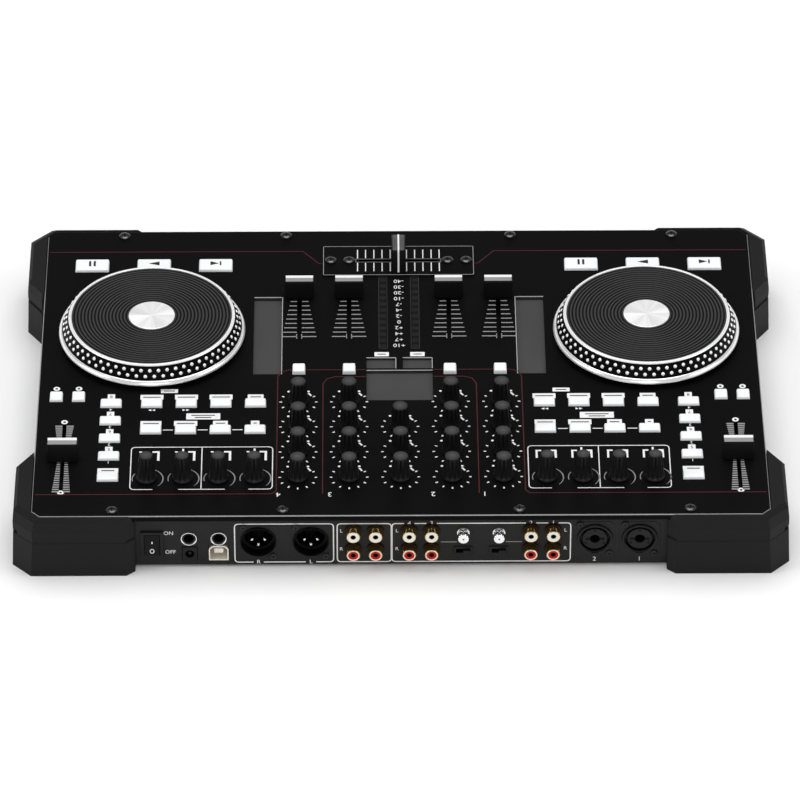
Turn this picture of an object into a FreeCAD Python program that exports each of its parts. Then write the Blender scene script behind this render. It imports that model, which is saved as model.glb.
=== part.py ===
"""Four-channel DJ mixer with two jog-wheel decks, as a parametric document in millimetres.

Frame: +X points to the user's right, +Y to the rear connector wall and +Z up. The origin
is on the floor under the middle of the case. Heights on the panel are measured from the
panel's top face, and heights on the rear wall are drops below that face.
"""
import FreeCAD
import Part
import Sketcher
import os
import re

SIZES = {
    # Case: a folded top panel over a base tray
    "panel_top": 42.5,
    "panel_half_x": 228.25,
    "panel_half_y": 150.0,
    "corner_cut": 5.6,
    "sheet": 1.5,
    "lip_height": 4.0,
    "bend_radius": 1.0,
    "tray_side_gap": 0.25,
    "tray_end_inset": 3.0,
    "tray_underside": 2.0,
    "flange_width": 12.0,
    "flange_end_gap": 8.0,
    "cutout_gap": 0.3,
    # Corner bumpers
    "bumper_gap": 0.4,
    "bumper_lip_room": 0.6,
    "bumper_out_x": 11.75,
    "bumper_out_y": 4.5,
    "bumper_corner": 12.4,
    "bumper_end_x": 164.6,
    "bumper_bevel": 5.4,
    "bumper_end_y": 84.0,
    "bumper_slant_x": 9.4,
    "bumper_slant_y": 13.6,
    "bumper_sole": 12.0,
    "bumper_flare": 1.0,
    "groove_low": 24.5,
    "groove_high": 27.5,
    "groove_depth": 1.2,
    "groove_slope": 0.6,
    "band_low": 33.0,
    "band_draft": 0.8,
    "top_bevel": 2.0,
    # Screws
    "screw_head_radius": 3.7,
    "screw_head_height": 1.5,
    "screw_radius": 1.45,
    "screw_length": 6.0,
    "small_head_radius": 2.2,
    "small_head_height": 1.3,
    "screw_gap": 0.15,
    "screw_crown": 0.6,
    "screw_near_x": 73.0,
    "screw_far_x": 178.4,
    "screw_inset": 5.8,
    # Control board with potentiometers and fader tracks
    "board_drop": 9.0,
    "board_sheet": 1.6,
    "board_half_x": 220.0,
    "board_front_y": 130.0,
    "board_rear_y": 130.0,
    "board_bush_gap": 3.0,
    "pot_width": 10.0,
    "pot_bore_depth": 5.0,
    "running_gap": 0.4,
    "track_width": 9.0,
    "track_height": 7.0,
    "track_end": 4.0,
    "track_floor": 1.5,
    # Knobs
    "shaft_radius": 3.0,
    "shaft_end_gap": 0.5,
    "shaft_grip": 9.0,
    "shaft_fit": 0.05,
    "knob_lift": 0.6,
    "skirt_height": 1.2,
    "skirt_slope": 0.9,
    "skirt_radius": 6.4,
    "flute_radius": 0.9,
    "flute_depth": 0.7,
    "flute_count": 12,
    "channel_knob_height": 17.0,
    "channel_knob_base": 5.9,
    "channel_knob_top": 4.95,
    "deck_knob_height": 19.0,
    "deck_knob_base": 5.75,
    "deck_knob_top": 4.4,
    "knob_edge": 0.7,
    "knob_dish": 0.35,
    "channel_near_x": 32.0,
    "channel_far_x": 63.9,
    "knob_front_y": 34.5,
    "knob_row_pitch": 25.7,
    "deck_knob_x": 90.8,
    "deck_knob_pitch": 22.3,
    "deck_knob_y": 112.5,
    # Faders
    "blade_thickness": 1.2,
    "blade_length": 5.0,
    "blade_grip": 7.0,
    "blade_end_gap": 0.8,
    "blade_fit": 0.05,
    "slot_gap": 0.6,
    "cap_lift": 0.8,
    "cap_edge": 0.6,
    "cap_dish": 0.7,
    "cap_line_width": 1.1,
    "cap_line_depth": 0.3,
    "line_travel": 45.0,
    "line_rest_y": 79.7,
    "line_cap_width": 18.5,
    "line_cap_base": 10.3,
    "line_cap_top": 7.5,
    "line_cap_height": 12.0,
    "pitch_x": 210.5,
    "pitch_y": 90.4,
    "pitch_travel": 60.0,
    "pitch_cap_width": 19.0,
    "pitch_cap_base": 11.6,
    "pitch_cap_top": 7.8,
    "pitch_cap_height": 12.0,
    "cross_y": 115.4,
    "cross_travel": 45.0,
    "cross_cap_width": 9.0,
    "cross_cap_base": 29.0,
    "cross_cap_top": 18.4,
    "cross_cap_height": 13.6,
    "cross_plate_x": 98.0,
    "cross_plate_y": 32.0,
    "cross_plate_sheet": 0.9,
    "cross_screw_near": 32.0,
    "cross_screw_far": 43.9,
    # Jog wheels on their bearing bases
    "jog_x": 157.8,
    "jog_y": 37.0,
    "jog_rim_radius": 59.5,
    "jog_rim_bottom": 3.6,
    "jog_rim_height": 2.2,
    "jog_rim_width": 5.0,
    "jog_shoulder": 1.3,
    "jog_top_radius": 53.0,
    "jog_top_height": 15.0,
    "jog_web_bottom": 6.2,
    "jog_disc_radius": 50.2,
    "jog_disc_depth": 1.4,
    "jog_disc_proud": 0.2,
    "jog_ring_width": 2.2,
    "jog_ring_height": 0.6,
    "jog_cap_radius": 14.7,
    "jog_cap_height": 0.5,
    "jog_spindle_radius": 4.0,
    "jog_spindle_depth": 11.0,
    "jog_base_radius": 55.5,
    "jog_base_height": 2.4,
    "jog_base_edge": 0.8,
    "jog_bush_radius": 9.0,
    "jog_bush_depth": 12.5,
    # Buttons
    "key_gap": 0.4,
    "key_bevel": 0.5,
    "key_draft": 0.35,
    "key_collar": 1.0,
    "key_collar_sheet": 0.9,
    "key_collar_gap": 0.3,
    "transport_key_x": 21.8,
    "transport_key_y": 12.4,
    "transport_key_height": 1.5,
    "transport_x": 158.4,
    "transport_pitch": 40.0,
    "transport_y": 111.4,
    "pad_key_x": 13.4,
    "pad_key_y": 8.1,
    "pad_key_height": 1.5,
    "pad_x": 91.0,
    "pad_pitch": 21.8,
    "pad_front_y": 35.7,
    "pad_rear_y": 62.9,
    "hotcue_x": 182.0,
    "hotcue_y": 35.5,
    "hotcue_pitch": 18.0,
    "sync_y": 110.8,
    "bend_key_x": 8.2,
    "bend_key_y": 9.4,
    "bend_x": 202.7,
    "bend_pitch": 14.05,
    "bend_y": 28.4,
    "cue_key_x": 8.2,
    "cue_key_y": 9.0,
    "cue_key_height": 2.4,
    "cue_y": 1.0,
    # Meter windows, touch strips and trackpad
    "meter_x": 10.8,
    "meter_width": 5.5,
    "meter_front_y": 97.7,
    "meter_rear_y": 21.9,
    "meter_inset": 0.2,
    "meter_collar": 1.2,
    "touch_recess": 0.4,
    "touch_collar": 2.0,
    "touch_sheet": 1.6,
    "strip_near_x": 74.6,
    "strip_far_x": 93.0,
    "strip_front_y": 77.0,
    "strip_rear_y": 5.3,
    "trackpad_half_x": 21.0,
    "trackpad_front_y": 1.3,
    "trackpad_rear_y": 32.9,
    "load_near_x": 2.1,
    "load_front_y": 12.0,
    "load_rear_y": 0.5,
    "touch_foot": 3.0,
    # Rear wall: power rocker, DC inlet, USB socket and remote jacks
    "rocker_x": 154.0,
    "rocker_drop": 23.9,
    "rocker_frame_x": 14.0,
    "rocker_frame_z": 19.6,
    "rocker_frame_proud": 1.5,
    "rocker_bezel": 1.2,
    "rocker_wall": 0.8,
    "rocker_depth": 13.0,
    "rocker_floor": 2.0,
    "rocker_gap": 0.4,
    "rocker_swing_gap": 0.8,
    "rocker_body": 6.5,
    "rocker_waist": 2.8,
    "rocker_tilt": 8.0,
    "rocker_pivot_depth": 3.0,
    "rocker_middle": 0.2,
    "rocker_pin_radius": 0.9,
    "rocker_pin_gap": 0.2,
    "rocker_pin_reach": 0.5,
    "dc_x": 130.8,
    "dc_drop": 31.8,
    "dc_width": 9.0,
    "dc_height": 10.6,
    "dc_depth": 14.0,
    "dc_proud": 0.6,
    "dc_bore_radius": 2.9,
    "dc_bore_depth": 9.5,
    "dc_pin_radius": 1.05,
    "dc_pin_length": 8.5,
    "usb_x": 112.9,
    "usb_drop": 31.2,
    "usb_width": 12.1,
    "usb_height": 11.0,
    "usb_corner": 2.2,
    "usb_wall": 0.7,
    "usb_depth": 16.0,
    "usb_proud": 0.6,
    "usb_floor": 2.0,
    "usb_tongue_x": 5.7,
    "usb_tongue_z": 3.2,
    "usb_tongue_length": 12.0,
    "remote_near_x": 112.8,
    "remote_far_x": 131.2,
    "remote_drop": 19.4,
    "jack_bore_radius": 3.2,
    "jack_bore_depth": 26.0,
    "jack_nut_radius": 5.2,
    "jack_nut_proud": 1.4,
    "jack_nut_edge": 0.4,
    "jack_bush_radius": 4.4,
    "jack_body_radius": 5.4,
    "jack_body_back": 1.5,
    "mini_bore_radius": 1.8,
    "mini_bore_depth": 15.0,
    "mini_nut_radius": 4.0,
    "mini_bush_radius": 3.0,
    "mini_body_radius": 4.2,
    "phones_x": 140.0,
    "phones_pitch": 18.0,
    "phones_drop": 20.0,
    # Rear wall: XLR outputs and combo inputs on one flange size
    "xlr_near_x": 55.8,
    "xlr_far_x": 88.3,
    "combo_near_x": 119.8,
    "combo_far_x": 147.6,
    "xlr_drop": 22.3,
    "combo_drop": 20.9,
    "d_flange_x": 25.2,
    "d_flange_z": 27.8,
    "d_flange_cut": 3.0,
    "d_flange_sheet": 0.8,
    "d_screw_x": 9.2,
    "d_screw_z": 11.2,
    "d_body_radius": 11.2,
    "xlr_rim_proud": 0.8,
    "xlr_cavity_radius": 10.4,
    "xlr_cavity_depth": 15.0,
    "xlr_back": 3.0,
    "xlr_pin_radius": 1.2,
    "xlr_pin_length": 12.0,
    "xlr_pin_circle": 4.0,
    "combo_face_proud": 1.0,
    "combo_bore_depth": 30.0,
    "combo_back": 2.0,
    "combo_rear_radius": 9.6,
    "combo_hole_radius": 1.5,
    "combo_hole_circle": 6.8,
    "combo_hole_depth": 12.0,
    "combo_hole_count": 3,
    # Rear wall: RCA jacks, ground posts and level switches
    "rca_master_x": 15.8,
    "rca_near_x": 5.0,
    "rca_far_x": 80.2,
    "rca_pitch": 13.8,
    "rca_top_drop": 14.5,
    "rca_low_drop": 28.7,
    "rca_radius": 4.15,
    "rca_wall": 0.6,
    "rca_proud": 6.9,
    "rca_flange_radius": 5.4,
    "rca_flange_sheet": 1.2,
    "rca_tail": 8.0,
    "rca_core_inset": 0.5,
    "rca_contact_radius": 1.6,
    "rca_contact_depth": 9.0,
    "post_near_x": 38.4,
    "post_far_x": 60.5,
    "post_drop": 16.0,
    "post_radius": 3.6,
    "post_base_radius": 4.0,
    "post_base_sheet": 1.0,
    "post_neck_radius": 2.0,
    "post_neck_length": 1.6,
    "post_proud": 7.2,
    "post_edge": 0.6,
    "post_tail": 6.0,
    "post_flutes": 14,
    "post_flute_radius": 0.45,
    "level_drop": 29.9,
    "level_frame_x": 12.0,
    "level_frame_z": 6.4,
    "level_frame_proud": 0.8,
    "level_bezel": 1.0,
    "level_wall": 0.6,
    "level_depth": 6.0,
    "level_floor": 1.0,
    "level_knob_x": 4.0,
    "level_knob_proud": 2.6,
    "level_gap": 0.3,
}

# RCA columns: the output pair, then the two input pairs
RCA_COLUMNS = ("rca_master_x", "rca_master_x + rca_pitch", "-rca_near_x", "-rca_near_x - rca_pitch",
               "-rca_far_x", "-rca_far_x - rca_pitch")
SIDES = {"left": "-1", "right": "1"}
CHANNELS = ("-channel_far_x", "-channel_near_x", "channel_near_x", "channel_far_x")
CHANNEL_ROWS = ("bass", "mid", "treble", "gain")
CENTRE_ROWS = {1: "balance", 2: "booth", 3: "master"}
# Width and depth of a deck's transport, pad and bend keys
KEY_SIZES = (("transport_key_x", "transport_key_y"), ("pad_key_x", "pad_key_y"),
             ("bend_key_x", "bend_key_y"))

doc = FreeCAD.newDocument("mixer")
sheet = doc.addObject("Spreadsheet::Sheet", "Sizes")
nodes = []


def fill_sheet():
    """Write every driving size into the sheet under its own alias."""
    for row, (alias, size) in enumerate(SIZES.items(), 1):
        sheet.set(f"A{row}", alias)
        sheet.set(f"B{row}", str(size))
        sheet.setAlias(f"B{row}", alias)
    doc.recompute()


def bind(text):
    """The expression with each size name pointed at the sheet."""
    def point(match):
        word = match.group(0)
        return f"Sizes.{word}" if word in SIZES else word
    return re.sub(r"[a-z][a-z_]*", point, text)


def number(text):
    """The present value of an expression, used as a sketch's starting place."""
    return float(sheet.evalExpression(bind(text)))


def new_body(name):
    return doc.addObject("PartDesign::Body", name)


def origin_feature(body, role):
    return next(item for item in body.Origin.OriginFeatures if item.Role == role)


def new_sketch(body, plane="XY_Plane", offset="0"):
    """A sketch on one of the body's origin planes, moved along that plane's normal."""
    sketch = body.newObject("Sketcher::SketchObject", body.Name + "_sketch")
    sketch.AttachmentSupport = [(origin_feature(body, plane), "")]
    sketch.MapMode = "FlatFace"
    sketch.setExpression("AttachmentOffset.Base.z", bind(offset))
    return sketch


def hold(sketch, kind, geometry, corner, text):
    """Hold a point's distance from the sketch's origin at an expression."""
    index = sketch.addConstraint(Sketcher.Constraint(kind, -1, 1, geometry, corner, number(text)))
    sketch.setExpression(f"Constraints[{index}]", bind(text))


def polygon(sketch, points):
    """A closed outline with both coordinates of every corner held by expressions."""
    first = sketch.GeometryCount
    places = [FreeCAD.Vector(number(x), number(y), 0) for x, y in points]
    count = len(places)
    for index in range(count):
        sketch.addGeometry(Part.LineSegment(places[index], places[(index + 1) % count]))
    for index in range(count):
        following = first + (index + 1) % count
        sketch.addConstraint(Sketcher.Constraint("Coincident", first + index, 2, following, 1))
    for index, (x, y) in enumerate(points):
        hold(sketch, "DistanceX", first + index, 1, x)
        hold(sketch, "DistanceY", first + index, 1, y)


def box_corners(x, y, width, depth):
    """Corners of a rectangle about a centre."""
    return [(f"{x} - ({width}) / 2", f"{y} - ({depth}) / 2"),
            (f"{x} + ({width}) / 2", f"{y} - ({depth}) / 2"),
            (f"{x} + ({width}) / 2", f"{y} + ({depth}) / 2"),
            (f"{x} - ({width}) / 2", f"{y} + ({depth}) / 2")]


def rectangle(sketch, x, y, width, depth):
    polygon(sketch, box_corners(x, y, width, depth))


def cut_rectangle(sketch, half_x, half_y, cut, x="0", y="0"):
    """A rectangle about a centre with its four corners cut at 45 degrees."""
    near_x = f"({half_x} - ({cut}))"
    near_y = f"({half_y} - ({cut}))"
    signs = (("-", "-"), ("", "-"), ("", ""), ("-", ""))
    points = []
    for turn, (sign_x, sign_y) in enumerate(signs):
        pair = [(f"{x} + {sign_x}1 * {near_x}", f"{y} + {sign_y}1 * ({half_y})"),
                (f"{x} + {sign_x}1 * ({half_x})", f"{y} + {sign_y}1 * {near_y}")]
        points.extend(pair if turn % 2 else pair[::-1])
    polygon(sketch, points)


def circle(sketch, x, y, radius):
    centre = FreeCAD.Vector(number(x), number(y), 0)
    index = sketch.addGeometry(Part.Circle(centre, FreeCAD.Vector(0, 0, 1), number(radius)))
    hold(sketch, "DistanceX", index, 3, x)
    hold(sketch, "DistanceY", index, 3, y)
    place = sketch.addConstraint(Sketcher.Constraint("Radius", index, number(radius)))
    sketch.setExpression(f"Constraints[{place}]", bind(radius))


def pad(body, sketch, length, reverse=False, symmetric=False):
    feature = body.newObject("PartDesign::Pad", body.Name + "_pad")
    feature.Profile = sketch
    feature.setExpression("Length", bind(length))
    feature.Reversed = reverse
    feature.SideType = "Symmetric" if symmetric else "One side"
    return feature


def pocket(body, sketch, length, reverse=False, symmetric=False):
    feature = body.newObject("PartDesign::Pocket", body.Name + "_pocket")
    feature.Profile = sketch
    feature.setExpression("Length", bind(length))
    feature.Reversed = reverse
    feature.SideType = "Symmetric" if symmetric else "One side"
    return feature


def revolve(body, points, plane="XZ_Plane"):
    """Turn a closed profile about the vertical axis of its sketch."""
    sketch = new_sketch(body, plane)
    polygon(sketch, points)
    feature = body.newObject("PartDesign::Revolution", body.Name + "_turned")
    feature.Profile = sketch
    feature.ReferenceAxis = (sketch, ["V_Axis"])
    feature.Angle = 360
    return feature


def loft(body, sketches):
    """Straight-sided walls through outlines at rising heights."""
    feature = body.newObject("PartDesign::AdditiveLoft", body.Name + "_loft")
    feature.Profile = sketches[0]
    feature.Sections = sketches[1:]
    feature.Ruled = True
    return feature


def ring_of(body, feature, count, axis):
    """Repeat a feature evenly round one of the body's axes."""
    pattern = body.newObject("PartDesign::PolarPattern", body.Name + "_ring")
    pattern.Originals = [feature]
    pattern.Axis = (origin_feature(body, axis), [""])
    pattern.Angle = 360
    pattern.setExpression("Occurrences", bind(count))
    body.Tip = pattern
    return pattern


def placed(links, x="0", y="0", z="0", turn=None, name="piece"):
    """A set of pieces moved to a place, and turned about an axis where one is given."""
    piece = doc.addObject("Part::Compound", name)
    piece.Links = links
    if turn:
        axis, angle = turn
        piece.Placement.Rotation = FreeCAD.Rotation(FreeCAD.Vector(*axis), number(angle))
        piece.setExpression("Placement.Rotation.Angle", bind(f"({angle}) * 1 deg"))
    for axis_name, text in zip("xyz", (x, y, z)):
        piece.setExpression(f"Placement.Base.{axis_name}", bind(text))
    return piece


def node(name, piece):
    """Name a finished sub-part and put it on the list to be written."""
    piece.Label = name
    nodes.append(piece)
    return piece


def node_of(name, links, **place):
    return node(name, placed(links, name=name, **place))


TRAY_HALF_X = "(panel_half_x - sheet - tray_side_gap)"
TRAY_HALF_Y = "(panel_half_y - tray_end_inset)"
PANEL_UNDER = "(panel_top - sheet)"
BOARD_TOP = "(panel_top - board_drop)"
REAR_FACE = TRAY_HALF_Y
ROUND_PLACES = (("xlr_near_x", "xlr_drop"), ("xlr_far_x", "xlr_drop"),
                ("-combo_near_x", "combo_drop"), ("-combo_far_x", "combo_drop"))


def knob_places():
    """Name, X, Y and kind of every knob."""
    places = []
    for channel, x in enumerate(CHANNELS, 1):
        for row, role in enumerate(CHANNEL_ROWS):
            y = f"knob_front_y + {row} * knob_row_pitch"
            places.append((f"channel_{channel}_{role}_knob", x, y, "channel"))
    for row, role in CENTRE_ROWS.items():
        y = f"knob_front_y + {row} * knob_row_pitch"
        places.append((f"{role}_knob", "0", y, "channel"))
    for side, sign in SIDES.items():
        for index in range(4):
            x = f"{sign} * (deck_knob_x + {index} * deck_knob_pitch)"
            places.append((f"{side}_effect_knob_{index + 1}", x, "deck_knob_y", "deck"))
    return places


def fader_places():
    """Name, X, Y at rest, travel, slot middle and kind of every fader."""
    places = []
    for channel, x in enumerate(CHANNELS, 1):
        middle = "(line_travel / 2 - line_rest_y)"
        places.append((f"channel_{channel}_line_fader", x, "-line_rest_y", x, middle, "line"))
    places.append(("crossfader", "0", "-cross_y", "0", "-cross_y", "cross"))
    for side, sign in SIDES.items():
        x = f"{sign} * pitch_x"
        places.append((f"{side}_pitch_fader", x, "pitch_y", x, "pitch_y", "pitch"))
    return places


def key_places(sign):
    """Places of a deck's keys, as sets of (X, Y) for each key master."""
    transport = [(f"{sign} * (transport_x + {index} * transport_pitch)", "-transport_y")
                 for index in (-1, 0, 1)]
    pads = [(f"{sign} * (pad_x + {index} * pad_pitch)", row)
            for index in range(4) for row in ("pad_front_y", "pad_rear_y")]
    pads += [(f"{sign} * hotcue_x", f"hotcue_y + {index} * hotcue_pitch") for index in range(4)]
    pads.append((f"{sign} * hotcue_x", "sync_y"))
    bends = [(f"{sign} * (bend_x + {index} * bend_pitch)", "bend_y") for index in range(2)]
    return transport, pads, bends


def touch_windows():
    """Middle and size of the panel windows over the touch strips, trackpad and load keys."""
    windows = []
    strip = ("(strip_near_x + strip_far_x) / 2", "(strip_rear_y - strip_front_y) / 2",
             "(strip_far_x - strip_near_x)", "(strip_rear_y + strip_front_y)")
    load = ("(load_near_x + trackpad_half_x) / 2", "(0 - load_front_y - load_rear_y) / 2",
            "(trackpad_half_x - load_near_x)", "(load_front_y - load_rear_y)")
    for x, y, width, depth in (strip, load):
        for sign in SIDES.values():
            windows.append((f"{sign} * ({x})", y, width, depth))
    windows.append(("0", "(trackpad_front_y + trackpad_rear_y) / 2", "(2 * trackpad_half_x)",
                    "(trackpad_rear_y - trackpad_front_y)"))
    return windows


def meter_window_places():
    return [(f"{sign} * meter_x", "(0 - meter_front_y - meter_rear_y) / 2", "meter_width",
             "(meter_front_y - meter_rear_y)") for sign in SIDES.values()]


def jog_places():
    return [(f"{sign} * jog_x", "-jog_y") for sign in SIDES.values()]


def panel_screw_places():
    return [(f"{sign} * {x}", y) for sign in SIDES.values()
            for x in ("screw_near_x", "screw_far_x")
            for y in ("panel_half_y - screw_inset", "screw_inset - panel_half_y")]


def cross_screw_places():
    return [(f"{sign} * {x}", "-cross_y") for sign in SIDES.values()
            for x in ("cross_screw_near", "cross_screw_far")]


def slot_size(kind):
    """Width along X and length along Y of the panel slot that a fader's blade runs in."""
    across = "(blade_thickness + 2 * slot_gap)"
    along = f"({kind}_travel + blade_length + 2 * slot_gap)"
    return (along, across) if kind == "cross" else (across, along)


def key_openings(places, size):
    """Panel openings round a set of keys of one size."""
    return [(x, y) + tuple(f"({side} + 2 * key_gap)" for side in size) for x, y in places]


def cut_round(body, places, radius):
    """Cut holes of one radius through the panel."""
    sketch = new_sketch(body, offset="panel_top")
    for x, y in places:
        circle(sketch, x, y, radius)
    pocket(body, sketch, "2 * lip_height")


def cut_square(body, openings):
    """Cut rectangular openings, given by middle and size, through the panel."""
    sketch = new_sketch(body, offset="panel_top")
    for x, y, width, depth in openings:
        rectangle(sketch, x, y, width, depth)
    pocket(body, sketch, "2 * lip_height")


def top_panel():
    """Folded sheet: a plate with a short lip all round, cut for every control."""
    body = new_body("top_panel")
    outline = new_sketch(body, offset="panel_top")
    cut_rectangle(outline, "panel_half_x", "panel_half_y", "corner_cut")
    block = pad(body, outline, "lip_height", reverse=True)
    doc.recompute()
    top_edges = [f"Edge{index}" for index, edge in enumerate(block.Shape.Edges, 1)
                 if edge.BoundBox.ZMin > number("panel_top") - 1e-6]
    bend = body.newObject("PartDesign::Fillet", "panel_bend")
    bend.Base = (block, top_edges)
    bend.setExpression("Radius", bind("bend_radius"))
    inside = new_sketch(body, offset="panel_top - lip_height")
    cut_rectangle(inside, "panel_half_x - sheet", "panel_half_y - sheet",
                  "corner_cut - sheet * (2 - sqrt(2))")
    pocket(body, inside, "lip_height - sheet", reverse=True)

    shaft_hole = "shaft_radius + 2 * running_gap"
    for kind in ("channel", "deck"):
        places = [(x, y) for name, x, y, knob in knob_places() if knob == kind]
        cut_round(body, places, shaft_hole)
    cut_round(body, jog_places(), "jog_bush_radius + cutout_gap")
    cut_round(body, panel_screw_places() + cross_screw_places(), "screw_radius + screw_gap")
    cut_square(body, [(x, y) + slot_size(kind) for name, x0, y0, x, y, kind in fader_places()])
    cut_square(body, touch_windows())
    cut_square(body, meter_window_places())
    for sign in SIDES.values():
        for places, size in zip(key_places(sign), KEY_SIZES):
            cut_square(body, key_openings(places, size))
    cut_square(body, key_openings([(x, "cue_y") for x in CHANNELS], ("cue_key_x", "cue_key_y")))
    node("top_panel", body)


def rear_cutouts(sketch):
    """Holes in the rear wall, one for each connector that passes through it."""
    rectangle(sketch, "rocker_x", "panel_top - rocker_drop",
              "rocker_frame_x - 2 * rocker_bezel + 2 * cutout_gap",
              "rocker_frame_z - 2 * rocker_bezel + 2 * cutout_gap")
    rectangle(sketch, "dc_x", "panel_top - dc_drop",
              "dc_width + 2 * cutout_gap", "dc_height + 2 * cutout_gap")
    rectangle(sketch, "usb_x", "panel_top - usb_drop",
              "usb_width + 2 * cutout_gap", "usb_height + 2 * cutout_gap")
    for x in ("remote_near_x", "remote_far_x"):
        circle(sketch, x, "panel_top - remote_drop", "jack_bush_radius + cutout_gap")
    for x, drop in ROUND_PLACES:
        circle(sketch, x, f"panel_top - {drop}", "d_body_radius + cutout_gap")
        for sign in SIDES.values():
            circle(sketch, f"{x} + {sign} * d_screw_x", f"panel_top - {drop} + {sign} * d_screw_z",
                   "screw_radius + screw_gap")
    for x in RCA_COLUMNS:
        for drop in ("rca_top_drop", "rca_low_drop"):
            circle(sketch, x, f"panel_top - {drop}", "rca_radius + cutout_gap")
    for x in ("-post_near_x", "-post_far_x"):
        circle(sketch, x, "panel_top - post_drop", "post_neck_radius + cutout_gap")
        rectangle(sketch, x, "panel_top - level_drop",
                  "level_frame_x - 2 * level_bezel + 2 * cutout_gap",
                  "level_frame_z - 2 * level_bezel + 2 * cutout_gap")


def base_tray():
    """Open tray whose rear wall carries the connectors and whose flanges take the panel screws."""
    body = new_body("base_tray")
    outline = new_sketch(body, offset="tray_underside")
    cut_rectangle(outline, TRAY_HALF_X, TRAY_HALF_Y, "corner_cut")
    pad(body, outline, f"{PANEL_UNDER} - tray_underside")
    inside = new_sketch(body, offset=PANEL_UNDER)
    cut_rectangle(inside, f"{TRAY_HALF_X} - sheet", f"{TRAY_HALF_Y} - sheet",
                  "corner_cut - sheet * (2 - sqrt(2))")
    pocket(body, inside, f"{PANEL_UNDER} - tray_underside - sheet")
    for sign in SIDES.values():
        flange = new_sketch(body, offset=PANEL_UNDER)
        rectangle(flange, "0", f"{sign} * ({TRAY_HALF_Y} - (flange_width + sheet) / 2)",
                  f"2 * ({TRAY_HALF_X} - flange_end_gap)", "flange_width + sheet")
        pad(body, flange, "sheet", reverse=True)
    screw_holes = new_sketch(body, offset=PANEL_UNDER)
    for x, y in panel_screw_places():
        circle(screw_holes, x, y, "screw_radius + screw_gap")
    pocket(body, screw_holes, "screw_length")
    rear = new_sketch(body, "XZ_Plane", offset=f"sheet / 2 - {TRAY_HALF_Y}")
    rear_cutouts(rear)
    pocket(body, rear, "4 * sheet", symmetric=True)
    front = new_sketch(body, "XZ_Plane", offset=f"{TRAY_HALF_Y} - sheet / 2")
    circle(front, "-phones_x", "panel_top - phones_drop", "jack_bush_radius + cutout_gap")
    circle(front, "phones_pitch - phones_x", "panel_top - phones_drop", "mini_bush_radius + cutout_gap")
    pocket(body, front, "4 * sheet", symmetric=True)
    node("base_tray", body)


def bumper_outline(sketch, outset):
    """Plan of one corner bumper, with its outer faces moved out by an outset."""
    face_x = f"(panel_half_x + bumper_out_x + {outset})"
    face_y = f"(panel_half_y + bumper_out_y + {outset})"
    corner = f"(bumper_corner - (2 - sqrt(2)) * ({outset}))"
    sole_x = f"({TRAY_HALF_X} - bumper_sole)"
    sole_y = f"({TRAY_HALF_Y} - bumper_sole)"
    polygon(sketch, [("bumper_end_x", sole_y),
                     ("bumper_end_x", f"{face_y} - bumper_out_y"),
                     ("bumper_end_x + bumper_bevel", face_y),
                     (f"{face_x} - {corner}", face_y),
                     (face_x, f"{face_y} - {corner}"),
                     (face_x, "bumper_end_y + bumper_slant_y"),
                     (f"{face_x} - bumper_slant_x", "bumper_end_y"),
                     (sole_x, "bumper_end_y"),
                     (sole_x, sole_y)])


def corner_bumpers():
    """Moulded corners: flared foot, groove, drafted band and bevelled top, over a sole."""
    body = new_body("bumper")
    levels = (("0", "bumper_flare"),
              ("groove_low", "0"),
              ("groove_low + groove_slope", "-groove_depth"),
              ("groove_high - groove_slope", "-groove_depth"),
              ("groove_high", "0"),
              ("band_low", "0"),
              ("panel_top - top_bevel", "-band_draft"),
              ("panel_top", "-band_draft - top_bevel"))
    sketches = []
    for height, outset in levels:
        sketch = new_sketch(body, offset=height)
        bumper_outline(sketch, outset)
        sketches.append(sketch)
    loft(body, sketches)
    lip_room = new_sketch(body, offset="panel_top")
    cut_rectangle(lip_room, "panel_half_x + bumper_gap", "panel_half_y + bumper_gap",
                  "corner_cut + bumper_gap * (2 - sqrt(2))")
    pocket(body, lip_room, "lip_height + bumper_lip_room")
    seat = new_sketch(body, offset="panel_top")
    cut_rectangle(seat, TRAY_HALF_X, TRAY_HALF_Y, "corner_cut")
    pocket(body, seat, "panel_top - tray_underside")
    pieces = [body]
    for normal in ((1, 0, 0), (0, 1, 0)):
        for source in list(pieces):
            mirrored = doc.addObject("Part::Mirroring", "bumper_mirror")
            mirrored.Source = source
            mirrored.Normal = FreeCAD.Vector(*normal)
            pieces.append(mirrored)
    node_of("corner_bumpers", pieces)


def screw_master(name, head_radius, head_height):
    """A pan-head screw standing on its seat, with a bevelled head and a plain shank."""
    body = new_body(name)
    revolve(body, [("0", f"{head_height}"),
                   ("0", "-screw_length"),
                   ("screw_radius", "-screw_length"),
                   ("screw_radius", "0"),
                   (head_radius, "0"),
                   (head_radius, f"{head_height} / 2"),
                   (f"{head_radius} * screw_crown", f"{head_height}")])
    return body


def screws():
    """Panel, crossfader-plate and connector screws as one set of separate fasteners."""
    large = screw_master("panel_screw", "screw_head_radius", "screw_head_height")
    small = screw_master("connector_screw", "small_head_radius", "small_head_height")
    pieces = [placed([large], x, y, "panel_top") for x, y in panel_screw_places()]
    pieces += [placed([large], x, y, "panel_top + cross_plate_sheet") for x, y in cross_screw_places()]
    to_rear = ((-1, 0, 0), "90")
    for x, drop in ROUND_PLACES:
        for sign in SIDES.values():
            pieces.append(placed([small], f"{x} + {sign} * d_screw_x", f"{REAR_FACE} + d_flange_sheet",
                                 f"panel_top - {drop} + {sign} * d_screw_z", to_rear))
    node_of("screws", pieces)


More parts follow.
